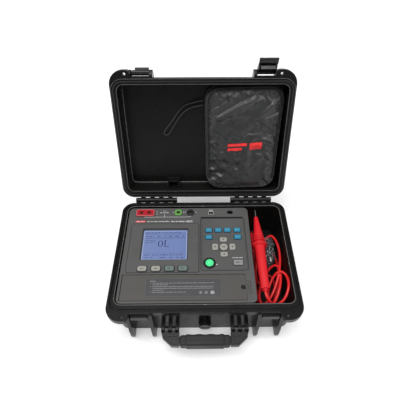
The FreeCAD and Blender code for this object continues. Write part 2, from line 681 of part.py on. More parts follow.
def all_keys():
    keys = []
    for number, x in enumerate((-139.5, -108.7, -78.2, -48.2), start=1):
        keys.append(Key(f"softkey_{number}", x, -44, dim("soft_width"), dim("soft_depth"), 4.5, frame_top))
    blue = ((11.5, 61.5), (34.4, 61.5), (56.7, 61.5), (80.2, 61.5), (11.5, 41), (80.2, 41))
    for number, (x, y) in enumerate(blue, start=1):
        keys.append(Key(f"blue_key_{number}", x, y, dim("key_width"), dim("key_depth"), 1.8, recess_top))
    pad_x, pad_y, step = 45.8, 13.1, 20.2
    for name, dx, dy, width, depth in (("up", 0, 1, 17, 12.5), ("down", 0, -1, 17, 12.5),
                                       ("left", -1, 0, 14, 17), ("right", 1, 0, 14, 17)):
        keys.append(Key(f"arrow_{name}", pad_x + dx * step, pad_y + dy * step, as_size(width),
                        as_size(depth), 3.5, recess_top))
    keys.append(RoundKey("ok_key", pad_x, pad_y, dim("ok_radius"), recess_top))
    keys.append(RoundKey("test_button", 11.7, -29.6, dim("test_radius"), recess_top))
    keys.append(Key("power_key", 77, -28.8, as_size(21.5), as_size(13), 2, recess_top))
    return keys


# ---------------------------------------------------------------- instrument panel
def front_panel(keys):
    plate = slab("panel_plate", dim("panel_left"), dim("panel_right"), dim("panel_front"),
                 dim("panel_back"), panel_under, panel_top, 11, None, 1.2)
    bezel = slab("panel_bezel", -175.5, -13, -52, 80.5, panel_top - 1, frame_top, 3, None, 0.8)
    skirt = slab("panel_skirt", dim("panel_left") + 4, dim("panel_right") - 1.5, dim("panel_front") + 3,
                 dim("panel_back") - 3, panel_under - 3, panel_under + 1, 9)
    skirt_core = slab("panel_skirt_core", dim("panel_left") + 6.5, dim("panel_right") - 4,
                      dim("panel_front") + 5.5, dim("panel_back") - 5.5, panel_under - 4, panel_under, 7)
    ledge = block("panel_door_ledge", dim("door_left") - 2, dim("door_right") + dim("tab_reach") + 3,
                  dim("door_front") - 2, dim("door_back") + 3, panel_under - 2.5, panel_under + 1)
    solid = fuse("panel_solid", [plate, bezel, cut("panel_skirt_ring", skirt, [skirt_core]), ledge])
    tools = [slab("panel_recess", -5, 97, -46, 97, recess_top, frame_top + 2, 3),
             slab("panel_window", -146, -40, -19, 64.5, panel_under - 1, frame_top + 1, 1.5),
             slab("panel_window_seat", -148, -38, -21, 66.5, frame_top - 2.6, frame_top + 1, 2)]
    # the battery door's seat, its through opening and the tab's notch
    seat = panel_top - dim("door_thickness") - 0.2
    gap = dim("door_gap")
    tools.append(block("panel_door_seat", dim("door_left") - gap, dim("door_right") + gap,
                       dim("door_front") - gap, dim("door_back") + gap, seat, frame_top))
    tools.append(block("panel_tab_seat", dim("door_right") - 1, dim("door_right") + dim("tab_reach") + gap,
                       -103 - gap, -75.5 + gap, seat, frame_top))
    tools.append(slab("panel_door_opening", dim("door_left") + 4, dim("door_right") - 16,
                      dim("door_front") + 3.5, dim("door_back") - 3.5, panel_under - 6, frame_top, 3))
    tools.append(rod("panel_lock_bore", 3.2, 12, 83.5, -89.3, panel_under - 6))
    tools += [key.hole() for key in keys]
    # seats for the terminals and the two service sockets
    tools.append(slab("panel_line_hole", -168, -126.2, 105.6, 122.2, panel_under - 6, frame_top, 4.4))
    for name in ("guard", "earth"):
        x, y = SOCKETS[name]
        tools.append(rod(f"panel_{name}_hole", 7.1, 20, x, y, panel_under - 6))
    tools.append(slab("panel_port_hole", 11.6, 24.4, 110.6, 118.4, panel_under - 6, frame_top, 1.4))
    tools.append(slab("panel_power_hole", 58.6, 73.4, 110.1, 121.9, panel_under - 6, frame_top, 5.4))
    tools.append(rod("panel_test_ring_seat", 13.4, 5, 11.7, -29.6, recess_top - 0.8))
    node(cut("panel_final", solid, tools), "front_panel")


# the screw under the TEST button is moved clear of it, and its partner with it
SCREW_PLACES = [(-172, -40), (-172, 116), (-38, -40), (-38, 116), (98, -52), (98, 100)]


def instrument_housing():
    """The tub under the panel, with bosses for its screws."""
    x0, x1 = dim("panel_left") + 7, dim("panel_right") - 4.5
    y0, y1 = dim("panel_front") + 6, dim("panel_back") - 6
    wall = dim("housing_wall")
    top = panel_under - 2.8
    outer = slab("tub_outer", x0, x1, y0, y1, dim("housing_floor"), top, 7)
    inner = slab("tub_inner", x0 + wall, x1 - wall, y0 + wall, y1 - wall, dim("housing_floor") + wall,
                 top + 5, 5)
    shell = cut("tub_shell", outer, [inner])
    bosses, bores = [], []
    for number, (x, y) in enumerate(SCREW_PLACES, start=1):
        bosses.append(rod(f"tub_boss_{number}", 5, top - dim("housing_floor") - 30, x, y,
                          dim("housing_floor") + 0.5))
        bores.append(rod(f"tub_screw_bore_{number}", 1.95, 200, x, y, -20))
    node(cut("tub_final", fuse("tub_solid", [shell] + bosses), bores), "instrument_housing")


def housing_screws():
    """Self-tapping screws from under the tub."""
    pieces = []
    for number, (x, y) in enumerate(SCREW_PLACES, start=1):
        shank = rod(f"screw_shank_{number}", 1.9, 34, x, y, dim("housing_floor") - 0.2)
        head = rod(f"screw_head_{number}", 3.6, 2.2, x, y, dim("housing_floor") - 2.3)
        recess = rod(f"screw_recess_{number}", 1.3, 1.4, x, y, dim("housing_floor") - 2.6)
        pieces.append(cut(f"screw_{number}", fuse(f"screw_solid_{number}", [shank, head]), [recess]))
    node(group("screw_set", pieces), "housing_screws")


def display():
    node(slab("window_pane", -147.8, -38.2, -20.8, 66.3, frame_top - 2.5, frame_top - 0.5, 1.8),
         "display_window")
    glass = slab("lcd_glass", -146.6, -39.4, -19.6, 65.1, frame_top - 9.4, frame_top - 6.2, 1)
    carrier = slab("lcd_carrier", -152, -34, -24, 70, frame_top - 13, frame_top - 9.4, 2)
    node(fuse("lcd_solid", [glass, carrier]), "lcd_module")


def boards():
    """The main circuit board, with the key pads' rubber mat above it and the high-voltage block."""
    board_top = panel_under - 7.6
    board = slab("board_plate", -176, 100, -50, 97, board_top - 1.6, board_top, 3)
    chips = []
    for number, (x, y, width, depth, height) in enumerate(
            ((-120, -5, 22, 22, 2.4), (-60, 20, 16, 16, 2.2), (30, 70, 14, 10, 3), (-20, -20, 10, 14, 3.4),
             (66, -10, 20, 9, 2.6)), start=1):
        chips.append(slab(f"chip_{number}", x - width / 2, x + width / 2, y - depth / 2, y + depth / 2,
                          board_top - 1.6 - height, board_top - 1.5, 1))
    node(fuse("board_solid", [board] + chips), "main_board")

    mat_top = panel_under - 4.2
    mat = slab("mat_sheet", -1, 93, -43.5, 72, board_top, board_top + 1.4, 3)
    wing = slab("mat_wing", -152, -34, -52.5 + 3, -35, board_top, board_top + 1.4, 3)
    domes = []
    for key in all_keys():
        domes.append(rod(f"dome_{key.name}", 4, mat_top - board_top, key.x, key.y, board_top))
    node(fuse("mat_solid", [mat, wing] + domes), "keypad_mat")

    core = slab("transformer_core", -160, -108, 20, 66, 30, 74, 3)
    coil = slab("transformer_coil", -152, -116, 12, 74, 36, 68, 8)
    node(fuse("transformer_solid", [core, coil]), "hv_transformer")


def battery_bay():
    """The tray under the door with two rows of cells, sprung contacts and the hinged door."""
    left, right = dim("door_left") + 5, dim("door_right") - 17
    front, back = dim("door_front") + 4.5, dim("door_back") - 4.5
    tray_top = panel_under - 4
    tray_floor = tray_top - 38
    outer = slab("tray_outer", left, right, front - 2, back + 2, tray_floor - 2, tray_top, 3)
    inner = slab("tray_inner", left + 2, right - 42, front, back, tray_floor, tray_top + 2, 1.5)
    pocket = slab("tray_pocket", right - 40, right - 2, front, back, tray_floor, tray_top + 2, 1.5)
    node(cut("tray_final", outer, [inner, pocket]), "battery_tray")

    cell_radius, cell_length = 12.4, 49
    mid = (front + back) / 2
    cells, contacts = [], []
    for row, y in enumerate((mid - cell_radius - 0.2, mid + cell_radius + 0.2)):
        for number in range(4):
            start = left + 7 + number * cell_length
            tag = f"cell_{row}_{number}"
            can = rod(tag + "_can", cell_radius, cell_length - 2.2, start, y, tray_floor + cell_radius + 0.4,
                      "x")
            tip = rod(tag + "_tip", 3, cell_length - 0.6, start, y, tray_floor + cell_radius + 0.4, "x")
            cells.append(fuse(tag, [can, tip]))
        for tag, x, length in (("minus", left + 2.3, 4.2),
                               ("plus", left + 7 + cell_length * 4 - 0.1, 1.6)):
            plate = block(f"contact_{row}_{tag}", x, x + 0.6, y - 9, y + 9, tray_floor + 3, tray_floor + 22)
            spring = rod(f"contact_{row}_{tag}_spring", 4, length, x, y, tray_floor + cell_radius + 0.4, "x")
            contacts.append(fuse(f"contact_set_{row}_{tag}", [plate, spring]))
    node(group("cell_set", cells), "battery_cells")
    node(group("contact_group", contacts), "battery_contacts")


def battery_door():
    thickness = dim("door_thickness")
    top = panel_top - 0.05
    low = top - thickness
    middle = low + thickness / 2
    edge = dim("door_left") + thickness / 2
    plate = slab("door_plate", edge, dim("door_right"), dim("door_front"), dim("door_back"), low, top, 1)
    barrel = rod("door_edge", thickness / 2, dim("door_back") - dim("door_front"), edge,
                 dim("door_front"), middle, "y")
    tab = block("door_tab", dim("door_right") - 2, dim("door_right") + dim("tab_reach"), -103, -75.5, low,
                top)
    finger = slab("door_finger_recess", dim("door_right") - 4, dim("door_right") + 5, -95, -83.5,
                  top - 1.2, top + 1, 2)
    bore = rod("door_lock_bore", 3.06, 20, 83.5, -89.3, low - 5)
    sink = rod("door_lock_sink", 5.4, 5, 83.5, -89.3, top - 1.6)
    node(cut("door_final", fuse("door_solid", [plate, barrel, tab]), [finger, bore, sink]), "battery_door")
    node(slab("door_label_film", -129, 36.6, -110.5, -67.5, top, top + 0.3, 4), "door_label")
    head = rod("lock_head", 5, 1.4, 83.5, -89.3, top - 1.5)
    shaft = rod("lock_shaft", 3, 5.5, 83.5, -89.3, top - 7)
    slot = block("lock_slot", 79.5, 87.5, -90.1, -88.5, top - 1, top + 1)
    node(cut("lock_final", fuse("lock_solid", [head, shaft]), [slot]), "battery_lock")


# ---------------------------------------------------------------- sockets
def socket_cavity(name):
    """The shrouded hole that a safety plug enters, with the contact tube's seat below it."""
    x, y = SOCKETS[name]
    shroud = rod(f"shroud_{name}", dim("shroud_radius"), 40, x, y, frame_top - 20)
    seat = rod(f"contact_seat_{name}", dim("contact_radius"), 60, x, y, frame_top - 50)
    return [shroud, seat]


def terminals():
    top = frame_top + 1.5
    length = 26
    cap = slab("line_cap", -170.4, -124, 104.3, 125.7, panel_top + 0.05, top, 4, None, 1.2)
    body = slab("line_body", -167.6, -126.6, 106, 121.8, top - length, top - 1, 4)
    line_sockets = socket_cavity("line_a") + socket_cavity("line_b")
    node(cut("line_final", fuse("line_solid", [cap, body]), line_sockets), "line_terminal_block")
    for name in ("guard", "earth"):
        x, y = SOCKETS[name]
        barrel = rod(f"{name}_barrel", 6.8, length - 1.5, x, y, top - length)
        collar = slab(f"{name}_collar", x - 9.3, x + 9.3, y - 9.3, y + 9.3, panel_top + 0.05, top, 7, None, 1)
        node(cut(f"{name}_final", fuse(f"{name}_solid", [barrel, collar]), socket_cavity(name)),
             f"{name}_jack")
    contacts = []
    for name, (x, y) in SOCKETS.items():
        low = frame_top + 1.5 - length - 4
        tube = rod(f"contact_tube_{name}", dim("contact_radius"), dim("contact_length") + 7, x, y, low)
        bore = rod(f"contact_bore_{name}", dim("plug_radius"), dim("contact_length") + 1, x, y, low + 7)
        contacts.append(cut(f"contact_{name}", tube, [bore]))
    node(group("contact_tubes", contacts), "terminal_contacts")

    port = slab("port_body", 12, 24, 111, 118, panel_top - 9, panel_top - 0.3, 1)
    mouth = slab("port_mouth", 14, 22, 112.6, 116.4, panel_top - 7, panel_top + 1, 0.8)
    node(cut("port_final", port, [mouth]), "data_port")
    socket = slab("power_body", 59, 73, 110.5, 121.5, panel_top - 14, panel_top - 0.2, 5)
    holes = [slab("power_mouth", 60.6, 71.4, 112, 120, panel_top - 9, panel_top + 1, 3.6)]
    pins = [rod("power_pin_a", 1.2, 3.6, 63.6, 116, panel_top - 10),
            rod("power_pin_b", 1.2, 3.6, 68.4, 116, panel_top - 10)]
    node(fuse("power_final", [cut("power_shell", socket, holes)] + pins), "power_socket")

    ring = rod("test_ring_body", 13.2, 2.6, 11.7, -29.6, recess_top - 0.7)
    ring_hole = rod("test_ring_hole", dim("test_radius") + 0.45, 6, 11.7, -29.6, recess_top - 2)
    node(cut("test_ring_final", ring, [ring_hole]), "test_ring")


# ---------------------------------------------------------------- cords
def cord_tube(name, points, diameter):
    """A tube along straight runs joined by the largest tangent arcs that the runs allow."""
    share = 0.45
    route = [Vector(*point) for point in points]
    edges, radii = [], []
    start = route[0]
    for before, corner, after in zip(route, route[1:], route[2:]):
        back = (before - corner).normalize()
        ahead = (after - corner).normalize()
        half_turn = (math.pi - back.getAngle(ahead)) / 2
        shorter = min((before - corner).Length, (after - corner).Length)
        tangent = share * shorter
        radius = tangent / math.tan(half_turn)
        entry, leave = corner + back * tangent, corner + ahead * tangent
        centre = corner + (back + ahead).normalize() * (radius / math.cos(half_turn))
        middle = centre + (corner - centre).normalize() * radius
        edges.append(Part.LineSegment(start, entry).toShape())
        edges.append(Part.Arc(entry, middle, leave).toShape())
        radii.append(round(radius, 1))
        start = leave
    edges.append(Part.LineSegment(start, route[-1]).toShape())
    path = Part.Wire(edges)
    section = Part.Wire(Part.Circle(route[0], route[1] - route[0], diameter / 2).toShape())
    tube = path.makePipeShell([section], True, False)
    ideal = math.pi * diameter ** 2 / 4 * path.Length
    print(f"{name}: length {path.Length:.0f}, radii {radii}, volume ratio {tube.Volume / ideal:.4f}")
    feature = doc.addObject("Part::Feature", name + "_tube")
    feature.Shape = tube
    return feature


# ---------------------------------------------------------------- the kit in the right-hand bay
PROBE_X = 131.5
PROBE_BACK = 122
PROBE_FRONT = -88
PROBE_FLANGE = 19
PROBE_NECK = 54
PROBE_TIP = 104


def probe():
    """The high-voltage probe: needle, tapered nose with grip rings, finger flange and handle."""
    z = dim("probe_height")
    nose = taper("probe_nose", 5, 11, PROBE_TIP - PROBE_NECK, PROBE_X, PROBE_TIP, z, "y")
    nose.Placement = Placement(Vector(PROBE_X, PROBE_TIP, value_of(z)), Rotation(Vector(1, 0, 0), 90))
    pieces = [nose,
              taper("probe_handle", 9.8, 12.6, PROBE_FLANGE - PROBE_FRONT, PROBE_X, PROBE_FRONT, z, "y"),
              taper("probe_flange_back", 12.6, 17.4, 3.5, PROBE_X, PROBE_FLANGE - 3.5, z, "y"),
              rod("probe_flange", 18, 4.6, PROBE_X, PROBE_FLANGE, z, "y"),
              taper("probe_flange_front", 17, 14, 4, PROBE_X, PROBE_FLANGE + 4.5, z, "y"),
              rod("probe_cuff", 11, 5, PROBE_X, PROBE_FRONT - 4, z, "y"),
              taper("probe_relief", 4.4, 8, 5, PROBE_X, PROBE_FRONT - 8.5, z, "y"),
              rod("probe_neck", 11.6, PROBE_NECK - PROBE_FLANGE, PROBE_X, PROBE_FLANGE, z, "y")]
    for number in (1, 2, 3):
        pieces.append(rod(f"probe_grip_ring_{number}", 16 - number, 3.2, PROBE_X,
                          PROBE_FLANGE + 5.5 + number * 6, z, "y"))
    node(fuse("probe_solid", pieces), "probe_body")
    needle = fuse("needle_solid", [rod("needle_shaft", 1.1, 22, PROBE_X, PROBE_TIP, z, "y"),
                                   taper("needle_point", 1.1, 0.3, 5, PROBE_X, PROBE_TIP + 22, z, "y")])
    node(needle, "probe_needle")


PLUG = (131, 74, 10.3)
LEAD_ROUTE = [(131.5, -96.5, 101), (131.5, -103, 101), (135, -111, 97), (142, -116.5, 89.5),
              (151.5, -119, 80)]


def lead():
    """The probe's lead: the stretch from the handle, then a loose oval coil, then its plug."""
    tube = cord_tube("red_lead", LEAD_ROUTE, DIMENSIONS["lead_diameter"])
    node(tube, "red_lead")
    low = dim("floor_thickness") + 0.5
    outer = slab("coil_outer", 116, 187.4, -121, 62, low, 80, 30, None, 6)
    high = slab("coil_high", 156, 187.4, -121, 44, 70, 108, 12, None, 4)
    back = slab("coil_back", 152, 187.4, 20, 66, 60, 92, 14, None, 4)
    inner = slab("coil_inner", 137, 169, -30, 48, 0, 120, 14)
    front_inner = slab("coil_front_inner", 148, 172, -100, -52, 0, 120, 10)
    node(cut("coil_final", fuse("coil_solid", [outer, high, back]), [inner, front_inner]),
         "red_lead_coil")
    x, y, z = PLUG
    shell = rod("plug_shell", 6, 42, x, y, z, "y")
    relief = taper("plug_relief", 4, 6, 9.5, x, y - 9.5, z, "y")
    pin = rod("plug_pin", 2, 20, x, y + 30, z, "y")
    hollow = rod("plug_hollow", 4.6, 16, x, y + 28, z, "y")
    node(fuse("plug_solid", [cut("plug_body", fuse("plug_outer", [shell, relief]), [hollow]), pin]),
         "lead_plug")


def clips_in_bag():
    """Two crocodile clips sealed in a clear bag that stands in the middle of the coil."""
    outer = slab("bag_outer", 138, 168, -22, 42, 22, 79, 9, None, 7)
    inner = slab("bag_inner", 139.2, 166.8, -20.8, 40.8, 23.2, 77.8, 8, None, 6)
    node(cut("bag_final", outer, [inner]), "accessory_bag")
    clips = []
    for number, x in enumerate((146, 159)):
        boot = slab(f"clip_boot_{number}", x - 4.5, x + 4.5, -20 + number * 6, 26 + number * 6, 40, 60, 4,
                    None, 3)
        clips.append(boot)
    node(group("clip_set", clips), "crocodile_clips")


# ---------------------------------------------------------------- the pouch in the lid
POUCH = {"left": 0.0, "right": 185.0, "front": -129.5, "back": 125.5}


def pouch():
    """The soft zip pouch that stands in the lid on the hinge-side wall."""
    roof = rim + dim("lid_height") - dim("floor_thickness")
    bag = slab("pouch_bag", POUCH["left"], POUCH["right"], POUCH["front"], POUCH["back"],
               roof - dim("pouch_thickness") - 2.5, roof - 2.5, dim("pouch_radius"))
    node(bag, "pouch", lid_swing)


STRAP_ROUTE = [(0, -89, 150), (-13, -89, 150), (-27, -87, 155), (-41, -82, 158), (-53, -71, 158),
               (-64, -57, 158), (-76, -41, 158), (-86, -27, 158), (-94, -17, 158), (-93, -8, 158),
               (-84, -9, 158), (-78, -21, 158), (-69, -36, 158), (-59, -52, 158), (-49, -66, 158),
               (-37, -75, 157), (-24, -80, 154), (-12, -80, 150), (0, -80, 150)]


def wrist_strap():
    """The pouch's wrist cord: out of the side seam, round its loop and back."""
    tube = cord_tube("wrist_strap", STRAP_ROUTE, DIMENSIONS["strap_diameter"])
    node(tube, "wrist_strap", lid_swing)


# ---------------------------------------------------------------- assembly
case_base()
case_lid()
lid_seal()
lid_pins()
for which, direction in SIDES:
    latch(which, direction)
handle()
valve_knob()
panel_keys = all_keys()
front_panel(panel_keys)
for panel_key in panel_keys:
    panel_key.build()
instrument_housing()
housing_screws()
display()
boards()
battery_bay()
battery_door()
terminals()
probe()
lead()
clips_in_bag()
pouch()
wrist_strap()
doc.recompute()

# ---------------------------------------------------------------- checks and export
broken = [item.Name for item in doc.Objects if {"Invalid", "Error"} & set(item.State)]
for part in nodes:
    if part.Shape.isNull() or not part.Shape.isValid() or not part.Shape.Solids:
        broken.append(part.Label)
if broken:
    raise RuntimeError(f"objects that did not build: {broken}")
os.makedirs("parts", exist_ok=True)
for part in nodes:
    part.Shape.exportStep(f"parts/{part.Label}.step")
print(f"{len(nodes)} sub-parts written")
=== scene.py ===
"""Looks for the insulation resistance tester: materials, printed marks, pouch, cords and loose kit."""
import json
import math
import random

import bmesh
import bpy
from mathutils import Matrix, Vector, noise
from mathutils.bvhtree import BVHTree


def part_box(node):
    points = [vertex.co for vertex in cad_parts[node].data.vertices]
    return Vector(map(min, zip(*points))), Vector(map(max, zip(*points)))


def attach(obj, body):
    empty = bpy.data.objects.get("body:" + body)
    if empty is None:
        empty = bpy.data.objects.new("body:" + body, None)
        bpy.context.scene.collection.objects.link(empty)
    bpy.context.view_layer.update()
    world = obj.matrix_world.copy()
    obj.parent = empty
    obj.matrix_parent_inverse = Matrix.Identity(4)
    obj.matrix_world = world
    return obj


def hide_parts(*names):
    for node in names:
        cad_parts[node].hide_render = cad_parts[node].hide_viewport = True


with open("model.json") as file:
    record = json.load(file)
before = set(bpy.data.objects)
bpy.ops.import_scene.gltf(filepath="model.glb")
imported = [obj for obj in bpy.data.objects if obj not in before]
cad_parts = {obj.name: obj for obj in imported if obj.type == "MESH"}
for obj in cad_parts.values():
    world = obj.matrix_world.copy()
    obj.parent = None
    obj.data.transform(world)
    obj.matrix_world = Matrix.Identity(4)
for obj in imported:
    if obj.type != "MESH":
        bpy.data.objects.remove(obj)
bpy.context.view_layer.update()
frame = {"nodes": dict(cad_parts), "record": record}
NODES = frame["nodes"]
SCENE = bpy.context.scene
SLOTS = {row["node"]: row["material_slot"] for row in frame["record"]["subparts"]}
MM = 0.001

# The middles of the keys on the panel, in millimetres.
SOFTKEYS = (-139.5, -108.7, -78.2, -48.2)
SOFTKEY_LINE = -44.0
BLUE_KEYS = ((11.5, 61.5), (34.4, 61.5), (56.7, 61.5), (80.2, 61.5), (11.5, 41.0), (80.2, 41.0))
OK_KEY = (45.8, 13.1)
TEST_BUTTON = (11.7, -29.6)
POWER_KEY = (77.0, -28.8)


def mm(x, y, z):
    """A point of the row frame, given in millimetres."""
    return Vector((x, y, z)) * MM


def clamped(value, low=0.0, high=1.0):
    """The value, kept between two limits."""
    return max(low, min(high, value))


def tune(thing, **settings):
    """Sets several properties of a thing."""
    for key, value in settings.items():
        setattr(thing, key, value)


def placed(name, data):
    """A new object in the scene for this data."""
    made = bpy.data.objects.new(name, data)
    SCENE.collection.objects.link(made)
    return made


HINGE = mm(0, 155.5, 112)
LID_TURN = (Matrix.Translation(HINGE) @ Matrix.Rotation(math.radians(-110), 4, "X")
            @ Matrix.Translation(-HINGE))


def in_lid(x, y, z):
    """A point of the open lid, given in millimetres as it lies with the lid shut."""
    return LID_TURN @ mm(x, y, z)


# ---- camera and view
# The lens, the place and the turns in degrees were solved from points read off the photo.
CAMERA_LENS = 30.52
CAMERA_PLACE = mm(-5.15, -426.64, 798.72)
CAMERA_PAN, CAMERA_TILT, CAMERA_ROLL = -0.723, 39.514, 0.164

camera = placed("camera", bpy.data.cameras.new("camera"))
tune(camera.data, sensor_width=36.0, lens=CAMERA_LENS, clip_start=0.01, clip_end=50.0)
camera.matrix_world = (Matrix.Translation(CAMERA_PLACE)
                       @ Matrix.Rotation(math.radians(CAMERA_PAN), 4, "Z")
                       @ Matrix.Rotation(math.radians(CAMERA_TILT), 4, "X")
                       @ Matrix.Rotation(math.radians(CAMERA_ROLL), 4, "Z"))
SCENE.camera = camera
SCENE.view_settings.view_transform = "Standard"


# ---- material helpers
class Finish:
    """A Principled material whose colour, roughness and relief come from patterns in object space."""

    def __init__(self, name, edge=0.0, **constants):
        """The edge is the radius of the softened edges, in millimetres."""
        self.edge = edge
        self.material = bpy.data.materials.new(name)
        self.material.use_nodes = True
        self.tree = self.material.node_tree
        self.shader = self.tree.nodes["Principled BSDF"]
        for key, value in {"Specular_IOR_Level": 0.35, **constants}.items():
            self.shader.inputs[key.replace("_", " ")].default_value = value
        self.place = self.tree.nodes.new("ShaderNodeTexCoord").outputs["Object"]

    def add(self, kind, inputs=None, **settings):
        """A new shader node with its inputs and settings."""
        made = self.tree.nodes.new("ShaderNode" + kind)
        tune(made, **settings)
        for key, value in (inputs or {}).items():
            self.put(made.inputs[key], value)
        return made

    def put(self, socket, value):
        """Links an output to a socket, or sets the socket's constant."""
        if isinstance(value, bpy.types.NodeSocket):
            self.tree.links.new(value, socket)
        else:
            socket.default_value = value

    def stretched(self, scale):
        """The object's own space, scaled on each axis."""
        return self.add("Mapping", {"Vector": self.place, "Scale": scale}).outputs["Vector"]

    def noise(self, scale, detail=3.0, rough=0.55, place=None, distortion=0.0):
        made = self.add("TexNoise", {"Vector": place or self.place, "Scale": scale, "Detail": detail,
                                     "Roughness": rough, "Distortion": distortion})
        return made.outputs["Fac"]

    def cells(self, scale, place=None, feature="F1"):
        made = self.add("TexVoronoi", {"Vector": place or self.place, "Scale": scale}, feature=feature)
        return made.outputs["Distance"]

    def waves(self, scale, direction, distortion=0.0):
        made = self.add("TexWave", {"Vector": self.place, "Scale": scale, "Distortion": distortion},
                        bands_direction=direction)
        return made.outputs["Fac"]

    def between(self, value, low, high, to_low=0.0, to_high=1.0):
        """The range low to high spread over another range, and held at its ends."""
        made = self.add("MapRange", {"Value": value, "From Min": low, "From Max": high,
                                     "To Min": to_low, "To Max": to_high})
        return made.outputs["Result"]

    def combine(self, kind, a, b):
        """One arithmetic step on two values."""
        made = self.add("Math", operation=kind)
        self.put(made.inputs[0], a)
        self.put(made.inputs[1], b)
        return made.outputs[0]

    def times(self, a, b):
        return self.combine("MULTIPLY", a, b)

    def plus(self, a, b):
        return self.combine("ADD", a, b)

    def blend(self, share, a, b):
        """Colour a, giving way to colour b by the share."""
        made = self.add("Mix", data_type="RGBA")
        self.put(made.inputs[0], share)
        self.put(made.inputs[6], a)
        self.put(made.inputs[7], b)
        return made.outputs[2]

    def drive(self, name, value):
        """Drives an input of the material's shader."""
        self.put(self.shader.inputs[name], value)

    def colour(self, value):
        self.drive("Base Color", value)

    def roughness(self, value, low, high):
        self.drive("Roughness", self.between(value, 0.25, 0.75, low, high))

    def relief(self, *layers):
        """Each layer is (height from 0 to 1, depth in millimetres)."""
        normal = None
        if self.edge:
            normal = self.add("Bevel", {"Radius": self.edge * MM}, samples=6).outputs["Normal"]
        for height, depth in layers:
            bump = self.add("Bump", {"Height": height, "Distance": depth * MM, "Strength": 1.0})
            if normal is not None:
                self.put(bump.inputs["Normal"], normal)
            normal = bump.outputs["Normal"]
        self.drive("Normal", normal)


def shade(colour, factor):
    """A colour made darker or lighter, with alpha 1."""
    return tuple(min(1.0, c * factor) for c in colour[:3]) + (1.0,)


def moulded(name, colour, rough, grain, depth, spread, scuff, pale=2.2, **more):
    """Moulded plastic or rubber: a spark-textured skin, slow tone changes, rubbed patches, fine scratches."""
    finish = Finish(name, edge=1.1, **more)
    slow = finish.noise(14.0, 4.0)
    fine = finish.noise(grain * 1.7, 2.0)
    base = finish.blend(slow, shade(colour, 1 - spread), shade(colour, 1 + spread))
    base = finish.blend(finish.between(fine, 0.3, 0.7, 0.0, 0.22), base, shade(colour, pale))
    rubbed = finish.between(finish.noise(46.0, 6.0, 0.65, distortion=0.6), 0.56, 0.74)
    scratch_place = finish.stretched((38.0, 420.0, 160.0))
    scratched = finish.between(finish.noise(6.0, 5.0, 0.7, scratch_place), 0.66, 0.72)
    worn = finish.times(finish.combine("MAXIMUM", rubbed, scratched), scuff)
    finish.colour(finish.blend(worn, base, shade(colour, pale)))
    dulled = finish.plus(slow, finish.times(worn, 0.3))
    finish.roughness(dulled, rough - 0.08, rough + 0.12)
    finish.relief((finish.cells(grain), depth), (fine, depth * 0.6), (scratched, 0.01))
    return finish.material


def brushed(name, colour):
    """Drawn or turned metal with fine lines along it and dull spots."""
    finish = Finish(name, Metallic=1.0)
    lines = finish.noise(9.0, 4.0, 0.7, finish.stretched((30.0, 900.0, 900.0)))
    spots = finish.noise(220.0, 3.0)
    finish.colour(finish.blend(spots, shade(colour, 0.72), shade(colour, 1.12)))
    finish.roughness(finish.times(lines, 1.1), 0.2, 0.5)
    finish.relief((lines, 0.02))
    return finish.material


def printed(name, colour, wear=0.35, **more):
    """Screen-printed ink, slightly broken over the moulded grain under it."""
    finish = Finish(name, Roughness=0.6, **more)
    broken = finish.between(finish.noise(900.0, 3.0, 0.7), 0.55, 0.75)
    worn = finish.times(broken, wear)
    finish.colour(finish.blend(worn, shade(colour, 1.0), shade(colour, 0.45)))
    finish.relief((broken, 0.02))
    return finish.material


# ---- materials by slot
# Slot, colour, roughness, grain and its depth, spread of tone, and how scuffed it is.
LOOKS = {}
for slot_name, *settings in (
        ("black_shell", (0.0058, 0.0058, 0.0055), 0.27, 1100, 0.07, 0.25, 0.16),
        ("black_trim", (0.0085, 0.0085, 0.0088), 0.27, 1300, 0.04, 0.25, 0.28),
        ("black_rubber", (0.012, 0.012, 0.012), 0.55, 1500, 0.05, 0.25, 0.35),
        ("panel_grey", (0.066, 0.066, 0.065), 0.46, 1500, 0.045, 0.14, 0.12),
        ("door_grey", (0.062, 0.058, 0.054), 0.46, 1500, 0.045, 0.14, 0.12),
        ("label_film", (0.050, 0.050, 0.053), 0.38, 2600, 0.015, 0.08, 0.10),
        ("mat_grey", (0.35, 0.35, 0.35), 0.6, 1500, 0.03, 0.1, 0.1),
        ("terminal_red", (0.31, 0.012, 0.020), 0.3, 1700, 0.02, 0.12, 0.12),
        ("jack_green", (0.10, 0.27, 0.07), 0.3, 1700, 0.02, 0.12, 0.12),
        ("jack_black", (0.016, 0.017, 0.02), 0.25, 1700, 0.02, 0.2, 0.2),
        ("key_cream", (0.25, 0.245, 0.22), 0.5, 2200, 0.03, 0.1, 0.15),
        ("key_mint", (0.10, 0.135, 0.125), 0.5, 2200, 0.03, 0.1, 0.15),
        ("key_blue", (0.016, 0.175, 0.29), 0.42, 2200, 0.03, 0.12, 0.12),
        ("key_grey", (0.20, 0.205, 0.20), 0.5, 2200, 0.03, 0.1, 0.15),
        ("clip_black", (0.018, 0.018, 0.019), 0.34, 1500, 0.03, 0.25, 0.3)):
    gloss = 0.2 if slot_name == "black_shell" else 0.35
    LOOKS[slot_name] = moulded(slot_name, *settings, Specular_IOR_Level=gloss)
for slot_name, colour, coat in (("probe_red", (0.62, 0.010, 0.017), 0.35),
                                ("lead_silicone", (0.64, 0.016, 0.018), 0.15)):
    LOOKS[slot_name] = moulded(slot_name, colour, 0.32, 2400, 0.02, 0.10, 0.10, 1.25,
                               Coat_Weight=coat, Coat_Roughness=0.2)
LOOKS["steel"] = brushed("steel", (0.58, 0.58, 0.57))
# brass darkened well below the metal's own colour: painted shade for the contacts deep in their sockets
LOOKS["brass"] = brushed("brass", (0.34, 0.24, 0.10))


